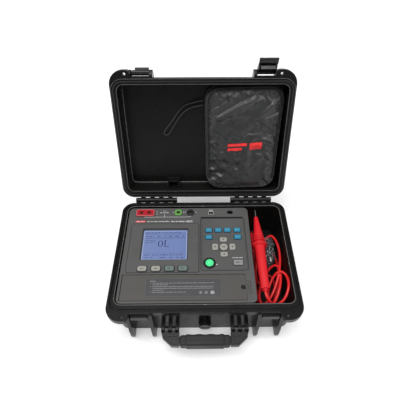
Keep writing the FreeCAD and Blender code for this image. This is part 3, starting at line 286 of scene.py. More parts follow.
def window_finish():
    """Clear acrylic: mostly open, with a soft gloss and faint hairlines."""
    finish = Finish("clear_window", Alpha=0.12)
    hairs = finish.between(finish.noise(7.0, 5.0, 0.7, finish.stretched((420.0, 30.0, 30.0))), 0.64, 0.7)
    finish.colour(finish.blend(hairs, (0.02, 0.022, 0.03, 1), (0.3, 0.3, 0.32, 1)))
    finish.roughness(hairs, 0.05, 0.2)
    finish.relief((hairs, 0.01))
    return finish.material


def lcd_finish():
    """A backlit blue display: brighter at its lit edge, with the fine grid of its cells."""
    finish = Finish("lcd", Roughness=0.35, Emission_Strength=0.80)
    across = finish.add("SeparateXYZ", {"Vector": finish.place}).outputs
    lit = finish.between(across[0], -0.15, -0.04)
    glow = finish.blend(lit, (0.180, 0.250, 0.490, 1), (0.140, 0.200, 0.450, 1))
    glow = finish.blend(finish.between(finish.noise(28.0), 0.3, 0.7, 0.0, 0.25), glow, (0.20, 0.27, 0.50, 1))
    crossing = finish.combine("MINIMUM", finish.waves(300.0, "X"), finish.waves(300.0, "Y"))
    grid = finish.times(crossing, 0.22)
    glow = finish.blend(grid, glow, (0.10, 0.14, 0.36, 1))
    finish.drive("Emission Color", glow)
    finish.colour(finish.blend(grid, (0.10, 0.13, 0.25, 1), (0.05, 0.07, 0.16, 1)))
    finish.relief((grid, 0.01))
    return finish.material


def lens_finish():
    """The lit lens of the TEST button, brightest in the middle, in its black bezel."""
    finish = Finish("test_green", Roughness=0.25, Emission_Strength=0.68, Coat_Weight=0.5)
    middle = finish.add("VectorMath", {0: finish.stretched((1.0, 1.0, 0.0))}, operation="DISTANCE")
    middle.inputs[1].default_value = mm(*TEST_BUTTON, 0)
    ring = finish.between(middle.outputs["Value"], 0.003, 0.0092)
    bezel = finish.between(middle.outputs["Value"], 0.0090, 0.0094)
    fine = finish.noise(900.0, 2.0)
    glow = finish.blend(ring, (0.10, 1.0, 0.36, 1), (0.03, 0.62, 0.22, 1))
    finish.drive("Emission Color", finish.blend(bezel, glow, (0, 0, 0, 1)))
    lens = finish.blend(fine, (0.04, 0.26, 0.11, 1), (0.05, 0.34, 0.14, 1))
    finish.colour(finish.blend(bezel, lens, (0.008, 0.008, 0.008, 1)))
    finish.relief((fine, 0.03))
    return finish.material


def board_finish():
    """Green solder mask over copper runs."""
    finish = Finish("board_green", Roughness=0.35)
    patches = finish.cells(160.0, finish.stretched((1.0, 3.0, 1.0)), "DISTANCE_TO_EDGE")
    runs = finish.between(patches, 0.02, 0.05)
    finish.colour(finish.blend(runs, (0.03, 0.30, 0.10, 1), (0.01, 0.12, 0.04, 1)))
    finish.relief((runs, 0.04))
    return finish.material


def winding_finish():
    """Varnished copper windings."""
    finish = Finish("transformer", Roughness=0.3)
    turns = finish.waves(260.0, "Z", 0.6)
    finish.colour(finish.blend(turns, (0.10, 0.045, 0.015, 1), (0.35, 0.17, 0.05, 1)))
    finish.relief((turns, 0.2))
    return finish.material


def cell_finish():
    """A plain printed battery sleeve with a pale band."""
    finish = Finish("battery_wrap", Roughness=0.3)
    along = finish.add("SeparateXYZ", {"Vector": finish.place}).outputs
    angle = finish.times(along[0], 126.0)
    band = finish.between(finish.add("Math", {0: angle}, operation="SINE").outputs[0], 0.7, 0.75)
    finish.colour(finish.blend(band, (0.03, 0.03, 0.035, 1), (0.25, 0.22, 0.14, 1)))
    finish.relief((finish.noise(500.0), 0.03))
    return finish.material


def woven(name, colour, pitch, weave_depth, rough, **more):
    """Woven cloth: over-and-under threads, small folds, and a soft sheen."""
    finish = Finish(name, **more)
    weave = finish.times(finish.waves(pitch, "X", 0.4), finish.waves(pitch, "Z", 0.4))
    slow = finish.noise(18.0, 5.0, 0.6)
    base = finish.blend(slow, shade(colour, 0.65), shade(colour, 1.5))
    finish.colour(finish.blend(finish.times(weave, 0.35), base, shade(colour, 2.4)))
    dulled = finish.plus(slow, finish.times(weave, 0.15))
    finish.roughness(dulled, rough - 0.06, rough + 0.1)
    finish.relief((finish.noise(70.0, 5.0, 0.6, distortion=1.2), 1.4), (weave, weave_depth))
    return finish.material


def film_finish():
    """Thin clear film: nearly open face on and more opaque towards its edges, with white painted glints along
    its crease lines.
    """
    finish = Finish("clear_bag", IOR=1.5, Specular_IOR_Level=0.6)
    crease_glints = finish.between(finish.cells(150.0, feature="DISTANCE_TO_EDGE"), 0.0, 0.05, 1.0, 0.0)
    turn = finish.add("LayerWeight", {"Blend": 0.35}).outputs["Facing"]
    # painted glints: the crease lines are coloured near white over a dark film
    finish.colour(finish.blend(crease_glints, (0.02, 0.021, 0.023, 1), (0.80, 0.83, 0.87, 1)))
    cover = finish.plus(finish.times(crease_glints, 0.45), finish.times(turn, 0.25))
    finish.drive("Alpha", finish.between(cover, 0.0, 0.7, 0.24, 0.60))
    finish.roughness(crease_glints, 0.05, 0.14)
    finish.relief((finish.noise(160.0, 4.0, 0.6, distortion=1.2), 1.2))
    return finish.material


LOOKS.update(clear_window=window_finish(), lcd=lcd_finish(), test_green=lens_finish(),
             board_green=board_finish(), transformer=winding_finish(), battery_wrap=cell_finish(),
             clear_bag=film_finish())
LOOKS["pouch_nylon"] = woven("pouch_nylon", (0.016, 0.0165, 0.017), 900.0, 0.05, 0.32,
                             Specular_IOR_Level=0.5, Sheen_Weight=0.12, Sheen_Roughness=0.4,
                             Coat_Weight=0.1)
LOOKS["strap_cord"] = woven("strap_cord", (0.045, 0.045, 0.047), 620.0, 0.25, 0.4)
# a pale colour for thin beads, far lighter than the shell: painted highlight lines along the rims and the
# lid's inner corner
HIGHLIGHT_PAINT = moulded("painted_highlight_bead", (0.16, 0.16, 0.155), 0.24, 1200.0, 0.04, 0.3, 0.1)
WHITE_INK = printed("white_ink", (0.66, 0.66, 0.66), 0.15)
GREY_INK = printed("grey_ink", (0.30, 0.30, 0.31), 0.2)
FAINT_INK = printed("faint_ink", (0.14, 0.14, 0.145), 0.2)
RED_INK = printed("red_ink", (0.62, 0.03, 0.04), 0.2)
# dark ink for key legends, also laid as painted shade in key wells, gaps, steps and socket holes
DARK_PRINT_AND_SHADE = printed("dark_print_and_shade", (0.01, 0.01, 0.011))
PALE_INK = printed("pale_ink", (0.17, 0.36, 0.45), 0.2)
PALE_RED = printed("pale_red_ink", (0.55, 0.22, 0.24), 0.3)
LCD_INK = printed("lcd_ink", (0.015, 0.025, 0.10), 0.1, Emission_Color=(0.02, 0.035, 0.13, 1.0),
                  Emission_Strength=0.1)
LCD_EDGE = printed("lcd_edge", (0.42, 0.50, 0.62), 0.1, Emission_Color=(0.60, 0.68, 0.85, 1.0),
                   Emission_Strength=0.40)

for node_name, slot_name in SLOTS.items():
    for material_slot in NODES[node_name].material_slots:
        material_slot.material = LOOKS[slot_name]


# ---- piece helpers
def riding(name, data, body):
    """A new object that rides on a body."""
    made = placed(name, data)
    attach(made, body)
    return made


def piece(name, points, faces, body, slot, look=None, smooth=True):
    """A mesh piece on a body, with its slot's look unless another is given; points in metres."""
    mesh = bpy.data.meshes.new(name)
    mesh.from_pydata([tuple(p) for p in points], [], faces)
    mesh.update()
    if smooth:
        mesh.polygons.foreach_set("use_smooth", [True] * len(mesh.polygons))
    mesh.materials.append(look or LOOKS[slot])
    return riding(name, mesh, body)


def line_curve(name, kind, points, look):
    """Curve data with one spline on the points."""
    curve = bpy.data.curves.new(name, "CURVE")
    curve.dimensions = "3D"
    spline = curve.splines.new(kind)
    spline.points.add(len(points) - 1)
    for control, point in zip(spline.points, points):
        control.co = (*point, 1.0)
    curve.materials.append(look)
    return curve


def cord(name, points, diameter, body, slot):
    """A cord on one NURBS line through given points, in metres."""
    curve = line_curve(name, "NURBS", points, LOOKS[slot])
    tune(curve.splines[0], order_u=3, use_endpoint_u=True)
    tune(curve, resolution_u=8, bevel_depth=diameter / 2, bevel_resolution=5, use_fill_caps=True)
    return riding(name, curve, body)


def rail(name, points, radius, body, slot, look=None, closed=False):
    """A round seam, welt or bead along points."""
    curve = line_curve(name, "POLY", points, look or LOOKS[slot])
    curve.splines[0].use_cyclic_u = closed
    tune(curve, bevel_depth=radius * MM, bevel_resolution=3)
    return riding(name, curve, body)


def tube_faces(rows, around, backward=False):
    """Faces round a tube of rows of points, and over its two ends."""
    faces = []
    for row in range(rows - 1):
        a, b = row * around, (row + 1) * around
        for k in range(around):
            after = (k + 1) % around
            forward = [a + k, a + after, b + after, b + k]
            faces.append([a + k, b + k, b + after, a + after] if backward else forward)
    last = rows * around - 1
    return faces + [list(range(around)), list(range(last, last - around, -1))]


def rounded(corners, inset, steps):
    """A loop round four corner arcs, each with its centre and radius, moved in by a distance."""
    loop = []
    for (x, y, radius), turn in zip(corners, (180, 270, 0, 90)):
        for step in range(steps + 1):
            angle = math.radians(turn + 90 * step / steps)
            reach = radius - inset
            loop.append((x + reach * math.cos(angle), y + reach * math.sin(angle)))
    return loop


# ---- cords
LEAD_DIAMETER = 6 * MM
LEAD_ROUTE = [mm(131.5, -96.5, 101), mm(131.5, -103, 101), mm(135, -111, 97), mm(142, -116.5, 89.5),
              mm(151.5, -119, 80)]
# Each loose turn: centre X and Y, half length, half width, lean of its long side to the right in
# degrees, then its height at the front, right, back and left.
TURNS = [(166, -81, 37, 18, 12, 84, 103, 95, 72),
         (150, -69, 48, 14, 24, 62, 86, 86, 62),
         (151, -19, 88, 26, 11, 58, 91, 78, 48),
         (151.5, -27, 89, 29, 6, 26, 34, 20, 16)]
TURN_STEPS = 14
# From the last turn the lead winds along the bay's floor to its plug.
PLUG_APPROACH = [mm(*point) for point in (
    (149, -104, 12), (161, -90, 10), (171, -68, 8.5), (174, -42, 8.5), (173, -22, 8.5), (166, -9, 8.5),
    (156, -9, 8.5), (150, -20, 8.5), (145, -32, 8.5), (136, -34, 8.5), (131, -22, 8.5), (131, 10, 9),
    (131, 42, 10.3), (131, 64.5, 10.3))]


def turn_point(turn):
    """The coil's line at a turn number: 0 is the front of the first turn, 0.5 its back."""
    place = clamped(turn - 0.5, 0.0, len(TURNS) - 1.0)
    first = min(int(place), len(TURNS) - 2)
    share = place - first
    row = [a + (b - a) * share for a, b in zip(TURNS[first], TURNS[first + 1])]
    x, y, length, width, lean, front, right, back, left = row
    angle = 2 * math.pi * turn - math.pi / 2
    side, along = math.cos(angle), math.sin(angle)
    lean = math.radians(lean)
    height = (max(side, 0) ** 2 * right + max(-side, 0) ** 2 * left
              + max(along, 0) ** 2 * back + max(-along, 0) ** 2 * front)
    return mm(x + width * side * math.cos(lean) + length * along * math.sin(lean),
              y - width * side * math.sin(lean) + length * along * math.cos(lean), height)


lead_points = LEAD_ROUTE + [turn_point(step / TURN_STEPS) for step in range(1, TURN_STEPS * len(TURNS))]
lead_points += PLUG_APPROACH
lead = cord("lead_line", lead_points, LEAD_DIAMETER, "case", "lead_silicone")
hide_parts("red_lead", "red_lead_coil")

STRAP_DIAMETER = 3 * MM
STRAP_ROUTE = [in_lid(*point) for point in (
    (0, -89, 150), (-13, -87, 150), (-27, -83, 154), (-41, -79, 156), (-54, -69, 156), (-65, -54, 157),
    (-77, -37, 157), (-88, -23, 157), (-97, -12, 157), (-95, -3, 157), (-85, -5, 157), (-77, -17, 157),
    (-69, -31, 156), (-59, -47, 155), (-48, -60, 155), (-36, -69, 154), (-24, -74, 152), (-12, -77, 150),
    (0, -79, 150))]
strap = cord("strap_line", STRAP_ROUTE, STRAP_DIAMETER, "lid", "strap_cord")
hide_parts("wrist_strap")


# ---- the zip pouch
# It is laid out as it lies in the shut lid, with its front facing down. Its places on the front are found
# by rays cast up from BELOW_POUCH.
POUCH_FRONT, POUCH_BACK = 123.0, 157.0
FRONT_LEVEL = POUCH_FRONT + 3.5
BELOW_POUCH = 90
POUCH_MIDDLE, POUCH_HALF_WIDTH, POUCH_HALF_LENGTH = 94, 92, 125
# The corner arcs of its outline, and of the welt round its front panel: centre X and Y, and radius.
POUCH_CORNERS = [(37, -93, 33), (152, -95, 34), (143, 88.5, 37), (43, 90.5, 36)]
POUCH_PANEL = [(39, -87, 21), (153, -86, 23), (146, 91, 27), (44, 92, 27)]
# Folds of the front: both ends, the half width on each side, and how far it stands out.
POUCH_FOLDS = ((116, -100, 28, -54, 3.5, 9, 6), (66, -98, 26, -72, 4, 6, 3),
               (160, -92, 128, -58, 3, 7, 4), (176, -66, 118, -44, 3, 8, 3.2),
               (26, -34, 60, -8, 4, 8, 2.4), (120, -12, 104, 26, 4, 6, 4),
               (122, 8, 158, 44, 3, 6, 4), (138, -6, 166, 6, 3, 5, 2.6),
               (146, 30, 116, 66, 3, 6.5, 5), (160, 52, 128, 96, 3, 6.5, 5.5),
               (96, 44, 122, 104, 4, 9, 6), (70, 52, 44, 26, 3.5, 7, 3.4),
               (36, 60, 84, 92, 3, 6, 5), (30, 84, 64, 112, 3, 5, 4),
               (84, 72, 60, 108, 3, 5, 4), (150, 84, 160, 108, 3, 5, 3.4))
# What the front lies over when the lid is shut: the panel's top, and the probe with its flange. The front
# gives way over the last GIVE millimetres before it would touch them.
PANEL_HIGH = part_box("front_panel")[1].z / MM
PROBE_MIDDLE = (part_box("probe_body")[0].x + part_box("probe_body")[1].x) / 2 / MM
FLANGE_PLACE = 22.0
GIVE = 3.0


def pouch_outline(inset, steps=10):
    """The pouch's outline as seen from the front."""
    return rounded(POUCH_CORNERS, inset, steps)


def pouch_rise(x, y):
    """How far the front stands out at a place, in millimetres, from its filling, folds and crumples."""
    across, along = (x - POUCH_MIDDLE) / POUCH_HALF_WIDTH, y / POUCH_HALF_LENGTH
    rise = 4.5 * max(0.0, 1 - across ** 2) * max(0.0, 1 - along ** 2)
    wander = noise.noise(Vector((x / 30, y / 30, 1.7))) * 3.0
    for x0, y0, x1, y1, near, far, height in POUCH_FOLDS:
        run = Vector((x1 - x0, y1 - y0))
        reach = run.length
        run /= reach
        place = (x - x0) * run.x + (y - y0) * run.y
        side = (x - x0) * run.y - (y - y0) * run.x + wander * math.sin(place / reach * math.pi)
        width = near if side < 0 else far
        ends = clamped(min((place + 8) / 16, (reach + 8 - place) / 16))
        rise += 1.15 * height * math.exp(-(side / width) ** 2) * ends * ends * (3 - 2 * ends)
    rough = clamped((along + 0.35) * 1.2, 0.25)
    for pitch, depth in ((34.0, 3.4), (15.0, 1.5), (7.5, 0.5)):
        value = noise.noise(Vector((x / pitch + wander / 12, y / pitch, pitch)))
        rise += rough * depth * 1.5 * (0.55 - abs(value) * 2.0)
    return rise


def pouch_room(x, y):
    """How far the front may stand out before the shut lid would press it on the panel, probe or flange."""
    across, along = x - PROBE_MIDDLE, y - FLANGE_PLACE
    over_probe = math.exp(-(across / 19) ** 4)
    over_flange = math.exp(-((across / 18) ** 2 + (along / 11) ** 2) ** 2)
    return FRONT_LEVEL - PANEL_HIGH - 1.6 - 2.8 * over_probe - 5.9 * over_flange


def from_rim(x, y, back):
    """How far a place lies inside the pouch's rim, whose rear edge is at the Y given."""
    return min(x - 4, 186 - x, y + 128, back - y)


def pouch_mesh():
    """A soft box on the outline, remeshed evenly, then let go as cloth round its filling."""
    shell = bmesh.new()
    loops = []
    for depth, inset in ((0.0, 9.0), (2.6, 3.2), (8.0, 0.3), (17.0, -0.6), (26.0, 0.3), (31.4, 3.2),
                         (34.0, 9.0)):
        level = FRONT_LEVEL + depth * 0.9
        loops.append([shell.verts.new(mm(x, y, level)) for x, y in pouch_outline(inset)])
    count = len(loops[0])
    for low, high in zip(loops, loops[1:]):
        for k in range(count):
            shell.faces.new((low[k], low[(k + 1) % count], high[(k + 1) % count], high[k]))
    shell.faces.new(list(reversed(loops[0])))
    shell.faces.new(loops[-1])
    bmesh.ops.recalc_face_normals(shell, faces=shell.faces)
    mesh = bpy.data.meshes.new("pouch_shell")
    shell.to_mesh(mesh)
    shell.free()
    made = placed("pouch_shell", mesh)
    remesh = made.modifiers.new("even", "REMESH")
    tune(remesh, mode="VOXEL", voxel_size=3.4 * MM)
    mesh = settled(made)
    for vertex in mesh.vertices:
        x, y, z = vertex.co / MM
        front = clamped((POUCH_FRONT + 12 - z) / 8)
        edge = clamped(from_rim(x, y, 126) / 14, 0.15)
        lean = clamped((y - 20) / 95) ** 1.5 * 10.0 * clamped((POUCH_BACK - z) / 26)
        vertex.co.z -= (front * edge * pouch_rise(x, y) + lean) * MM
    mesh = relaxed(made, mesh)
    bpy.data.objects.remove(made)
    for vertex in mesh.vertices:
        x, y, z = vertex.co / MM
        out, room = FRONT_LEVEL - z, pouch_room(x, y)
        if out > room - GIVE:
            vertex.co.z = (FRONT_LEVEL - room + GIVE * math.exp((room - GIVE - out) / GIVE)) * MM
    return mesh


def settled(thing):
    """The thing's mesh with its modifiers applied, as a new mesh."""
    graph = bpy.context.evaluated_depsgraph_get()
    mesh = bpy.data.meshes.new_from_object(thing.evaluated_get(graph))
    thing.modifiers.clear()
    thing.data = mesh
    return mesh


def relaxed(thing, mesh, frames=20, furthest=5.0):
    """A short cloth run with slack fabric and light filling; no point moves more than a few millimetres."""
    before = [vertex.co.copy() for vertex in mesh.vertices]
    held = thing.vertex_groups.new(name="held")
    for vertex in mesh.vertices:
        x, y, z = vertex.co / MM
        rim = from_rim(x, y, 123)
        held.add([vertex.index], 1.0 if z > 148 else (0.6 if rim < 9 else 0.0), "REPLACE")
    cloth = thing.modifiers.new("cloth", "CLOTH")
    tune(cloth.settings, quality=6, mass=0.2, vertex_group_mass="held", shrink_min=-0.055,
         use_pressure=True, uniform_pressure_force=1.6, bending_stiffness=0.25)
    cloth.settings.effector_weights.gravity = 0.0
    for number in range(1, frames + 1):
        SCENE.frame_set(number)
    mesh = settled(thing)
    for vertex, start in zip(mesh.vertices, before):
        moved = vertex.co - start
        if moved.length > furthest * MM:
            vertex.co = start + moved.normalized() * furthest * MM
    return mesh


def on_pouch(tree, x, y, lift):
    """The place on the pouch's front at x, y, a little above the cloth."""
    hit, normal, _, _ = tree.ray_cast(mm(x, y, BELOW_POUCH), Vector((0, 0, 1)))
    if hit is None:
        return mm(x, y, POUCH_FRONT + 14)
    return hit + normal * lift * MM


def smooth_path(points, rounds=2):
    """Points with their small jumps evened out."""
    for _ in range(rounds):
        points = ([points[0]] + [(a + b * 2 + c) / 4 for a, b, c in zip(points, points[1:], points[2:])]
                  + [points[-1]])
    return points


def ribbon(tree, path, width, lift):
    """Quads of a flat tape along a path on the pouch."""
    points, faces = [], []
    for k, (x, y) in enumerate(path):
        before, after = Vector(path[max(k - 1, 0)]), Vector(path[min(k + 1, len(path) - 1)])
        run = (after - before).normalized()
        side = Vector((run.y, -run.x)) * width / 2
        points += [on_pouch(tree, x - side.x, y - side.y, lift), on_pouch(tree, x + side.x, y + side.y, lift)]
        if k:
            faces.append([2 * k - 2, 2 * k - 1, 2 * k + 1, 2 * k])
    return points, faces


def lid_piece(name, points, faces, slot, look=None, smooth=True):
    """A mesh piece of the lid, given as it lies with the lid shut."""
    return piece(name, [LID_TURN @ p for p in points], faces, "lid", slot, look, smooth)


def welt(name, points, radius):
    """A closed seam of the pouch, given as it lies with the lid shut."""
    points = [LID_TURN @ p for p in smooth_path(points)]
    rail(name, points, radius, "lid", "pouch_nylon", closed=True)


def even_steps(path, pitch):
    """Places along a path, a fixed distance apart."""
    even, gone = [], 0.0
    for (x0, y0), (x1, y1) in zip(path, path[1:]):
        length = math.hypot(x1 - x0, y1 - y0)
        while gone < length:
            even.append((x0 + (x1 - x0) * gone / length, y0 + (y1 - y0) * gone / length))
            gone += pitch
        gone -= length
    return even


def build_zip(tree):
    """The zip, up the left side, over the top and down the right side: its tape, then its teeth."""
    loop = pouch_outline(8.4, 60)
    along = loop[-14:] + loop[:136]
    points, faces = ribbon(tree, along, 5.6, 0.5)
    lid_piece("pouch_zip_tape", points, faces, "pouch_nylon", ZIP_TAPE)
    even = even_steps(along, 1.5)
    points, faces = [], []
    for k, (x, y) in enumerate(even[1:-1], start=1):
        run = (Vector(even[k + 1]) - Vector(even[k - 1])).normalized()
        across = Vector((run.y, -run.x)) * (1 if k % 2 else -1)
        centre = on_pouch(tree, x + across.x * 0.7, y + across.y * 0.7, 0.9)
        start = len(points)
        for up in (-0.5, 0.5):
            for a, b in ((-0.5, -1.1), (0.5, -1.1), (0.5, 1.1), (-0.5, 1.1)):
                points.append(centre + mm(run.x * a + across.x * b, run.y * a + across.y * b, up))
        for quad in ((0, 3, 2, 1), (4, 5, 6, 7), (0, 1, 5, 4), (1, 2, 6, 5), (2, 3, 7, 6), (3, 0, 4, 7)):
            faces.append([start + v for v in quad])
    lid_piece("pouch_zip_teeth", points, faces, "black_trim", smooth=False)


def build_zip_pull(tree):
    """The zip's slider with its pull, which hangs over the front."""
    slider = on_pouch(tree, 52, -117.5, 1.4)
    tab = [on_pouch(tree, x, y, 2.2) for x, y in ((52, -114), (54, -108), (55.5, -102), (57, -95))]
    sections = ((slider - mm(0, 3, 0), 2.4, 1.0), (slider, 3.4, 1.7), (slider + mm(0, 3, 0), 2.6, 1.0),
                (tab[0], 1.5, 0.7), (tab[1], 2.1, 0.8), (tab[2], 2.5, 0.9), (tab[3], 1.6, 0.6))
    points = []
    for centre, half, thick in sections:
        for a, b in ((-half, -thick), (half, -thick), (half, thick), (-half, thick)):
            points.append(centre + mm(a, 0, b))
    sides = tube_faces(len(sections), 4)[:-2]
    faces = sides + [[3, 2, 1, 0], list(range(len(points) - 4, len(points)))]
    pull = lid_piece("pouch_zip_pull", points, faces, "black_trim")
    pull.modifiers.new("round", "SUBSURF").levels = 2


def build_pouch_mark(tree):
    """A plain red mark of slanting bars printed on the front."""
    points, faces = [], []
    slant = -0.055
    for left, right, low, high in ((58, 104, 3, 10), (58, 92, 14, 21), (110, 140, 3, 21)):
        across, up = max(2, int((right - left) / 2)), max(2, int((high - low) / 2))
        start = len(points)
        for j in range(up + 1):
            for i in range(across + 1):
                x, y = left + (right - left) * i / across, low + (high - low) * j / up
                points.append(on_pouch(tree, x, y + slant * (x - 99), 0.9))
        for j in range(up):
            for i in range(across):
                first = start + j * (across + 1) + i
                faces.append([first, first + 1, first + across + 2, first + across + 1])
    lid_piece("pouch_mark", points, faces, "pouch_nylon", POUCH_INK)


def build_pouch():
    """The filled pouch with its two welts, its zip and its printed mark."""
    mesh = pouch_mesh()
    points = [vertex.co.copy() for vertex in mesh.vertices]
    faces = [tuple(polygon.vertices) for polygon in mesh.polygons]
    tree = BVHTree.FromPolygons(points, faces)
    body = lid_piece("pouch_cloth", points, faces, "pouch_nylon")
    body.modifiers.new("smooth", "SUBSURF").levels = 1
    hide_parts("pouch")
    welt("pouch_welt", [on_pouch(tree, x, y, 0.3) for x, y in rounded(POUCH_PANEL, 0.0, 14)], 0.8)
    welt("pouch_edge_welt", [on_pouch(tree, x, y, 0.2) for x, y in pouch_outline(4.5, 14)], 0.9)
    build_zip(tree)
    build_zip_pull(tree)
    build_pouch_mark(tree)


ZIP_TAPE = woven("zip_tape", (0.014, 0.0145, 0.0145), 1500.0, 0.05, 0.5)
POUCH_INK = printed("pouch_ink", (0.85, 0.035, 0.035), 0.15)
build_pouch()


# ---- fine beads moulded on the two rims and in the lid's inner corner, coloured pale as painted highlight lines
def rim_bead(name, half_x, y0, y1, radius, height, turn, body, thick=0.55):
    """A bead round a rim with rounded corners, turned as its body is; its pale colour is a painted highlight
    line.
    """
    side, front, back = half_x - radius, y0 + radius, y1 - radius
    corners = [(x, y, radius) for x, y in ((-side, front), (side, front), (side, back), (-side, back))]
    loop = [turn @ mm(x, y, height) for x, y in rounded(corners, 0.0, 8)]
    rail(name, loop, thick, body, "black_shell", HIGHLIGHT_PAINT, True)


rim_bead("lid_bead_inner", 191.2, -133.7, 129.7, 15.7, 112.74, LID_TURN, "lid")
rim_bead("lid_bead_outer", 203.4, -144.9, 144.9, 26.4, 112.74, LID_TURN, "lid")
# a pale bead in the fillet of the lid's inner corner along its left and hinge-side walls: a painted highlight
# line
crook = [(-187.9, -116.0), (-187.9, -40.0), (-187.9, 40.0), (-187.9, 112.0), (-187.2, 118.0), (-184.2, 122.8),
         (-179.4, 125.7), (-173.0, 126.4), (-110.0, 126.4), (-40.0, 126.4), (12.0, 126.4)]
rail("lid_corner_bead", [in_lid(x, y, 158.2) for x, y in crook], 0.7, "lid", "black_shell", HIGHLIGHT_PAINT)
rim_bead("base_bead", 191.2, -128.7, 134.7, 15.7, 111.11, Matrix.Identity(4), "case", 1.0)


# ---- clips in their clear bag
def squared(value, power):
    """A sine or cosine raised to a power with its sign kept; below 1 it squares a round section."""
    return math.copysign(abs(value) ** power, value)


def loft(name, sections, body, slot, rounds=12):
    """A skin over rounded sections along Y: each is x, y, z, half width, half height, squareness."""
    points = []
    for x, y, z, wide, tall, square in sections:
        for k in range(rounds):
            angle = 2 * math.pi * k / rounds
            points.append(mm(x + wide * squared(math.cos(angle), square), y,
                             z + tall * squared(math.sin(angle), square)))
    return piece(name, points, tube_faces(len(sections), rounds), body, slot)


def build_clips():
    """Two insulated crocodile clips: a ribbed boot, a flared grip, a spring barrel and toothed jaws."""
    for number, (x, back, z) in enumerate(((148.5, 54.0, 56.0), (161.5, 60.0, 62.0)), start=1):
        sections = [(x, back, z, 2.2, 2.2, 1.0), (x, back - 2, z, 3.6, 3.6, 0.9)]
        for step in range(7):
            y = back - 5 - step * 2.6
            sections += [(x, y, z, 4.3 + step * 0.12, 4.6 + step * 0.3, 0.8),
                         (x, y - 1.1, z, 3.7 + step * 0.12, 4.0 + step * 0.3, 0.8)]
        tip = back - 24
        sections += [(x, tip, z, 5.2, 7.6, 0.7), (x, tip - 6, z, 5.4, 8.6, 0.7),
                     (x, tip - 12, z, 4.8, 7.0, 0.7), (x, tip - 18, z, 3.8, 5.4, 0.8),
                     (x, tip - 24, z, 3.1, 4.4, 0.9)]
        boot = loft(f"clip_boot_{number}", sections, "case", "clip_black")
        boot.modifiers.new("smooth", "SUBSURF").levels = 1
        if number == 1:
            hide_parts("crocodile_clips")
        points, faces = [], []
        steps = 14
        for side in (-1, 1):
            start = len(points)
            for k in range(steps + 1):
                y = tip - 20 - k * 1.15
                tooth = 0.55 if k % 2 else 0.0
                gap = 0.5 + 0.9 * math.sin(math.pi * k / steps)
                for wide in (-2.2, 2.2):
                    points.append(mm(x + wide, y, z + side * (gap + tooth)))
                    points.append(mm(x + wide * 0.7, y, z + side * (gap + 2.0 - 0.06 * k)))
            for k in range(steps):
                a = start + 4 * k
                for one, two in ((0, 2), (2, 3), (3, 1), (1, 0)):
                    faces.append([a + one, a + two, a + 4 + two, a + 4 + one])
            faces += [[start, start + 1, start + 3, start + 2],
                      [start + 4 * steps + v for v in (0, 2, 3, 1)]]
        piece(f"clip_jaw_{number}", points, faces, "case", "steel", smooth=False)


def build_bag():
    """The clear film bag, crumpled round the clips."""
    points = []
    around, rows = 64, 34
    for row in range(rows + 1):
        share = row / rows
        y = -10 + 78 * share
        swell = math.sin(math.pi * clamped(share * 0.94 + 0.05, 0.03)) ** 0.45
        for k in range(around):
            angle = 2 * math.pi * k / around
            cosine, sine = math.cos(angle), math.sin(angle)
            x = 155.5 + 17.5 * swell * squared(cosine, 0.75) + 5 * share
            z = 59.0 + 18.0 * swell * squared(sine, 0.8) + 7 * share
            place = Vector((x, y, z))
            crease = 0.0
            for pitch, depth in ((19.0, 5.0), (9.0, 2.6), (4.5, 1.0)):
                crease += depth * (0.4 - 2.0 * abs(noise.noise(place / pitch + Vector((pitch, 0, 0)))))
            out = Vector((cosine, 0.25 * noise.noise(place / 8), sine)).normalized()
            points.append((place + out * crease * 0.75) * MM)
    bag = piece("bag_film", points, tube_faces(rows + 1, around, True), "case", "clear_bag")
    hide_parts("accessory_bag")


build_clips()
build_bag()
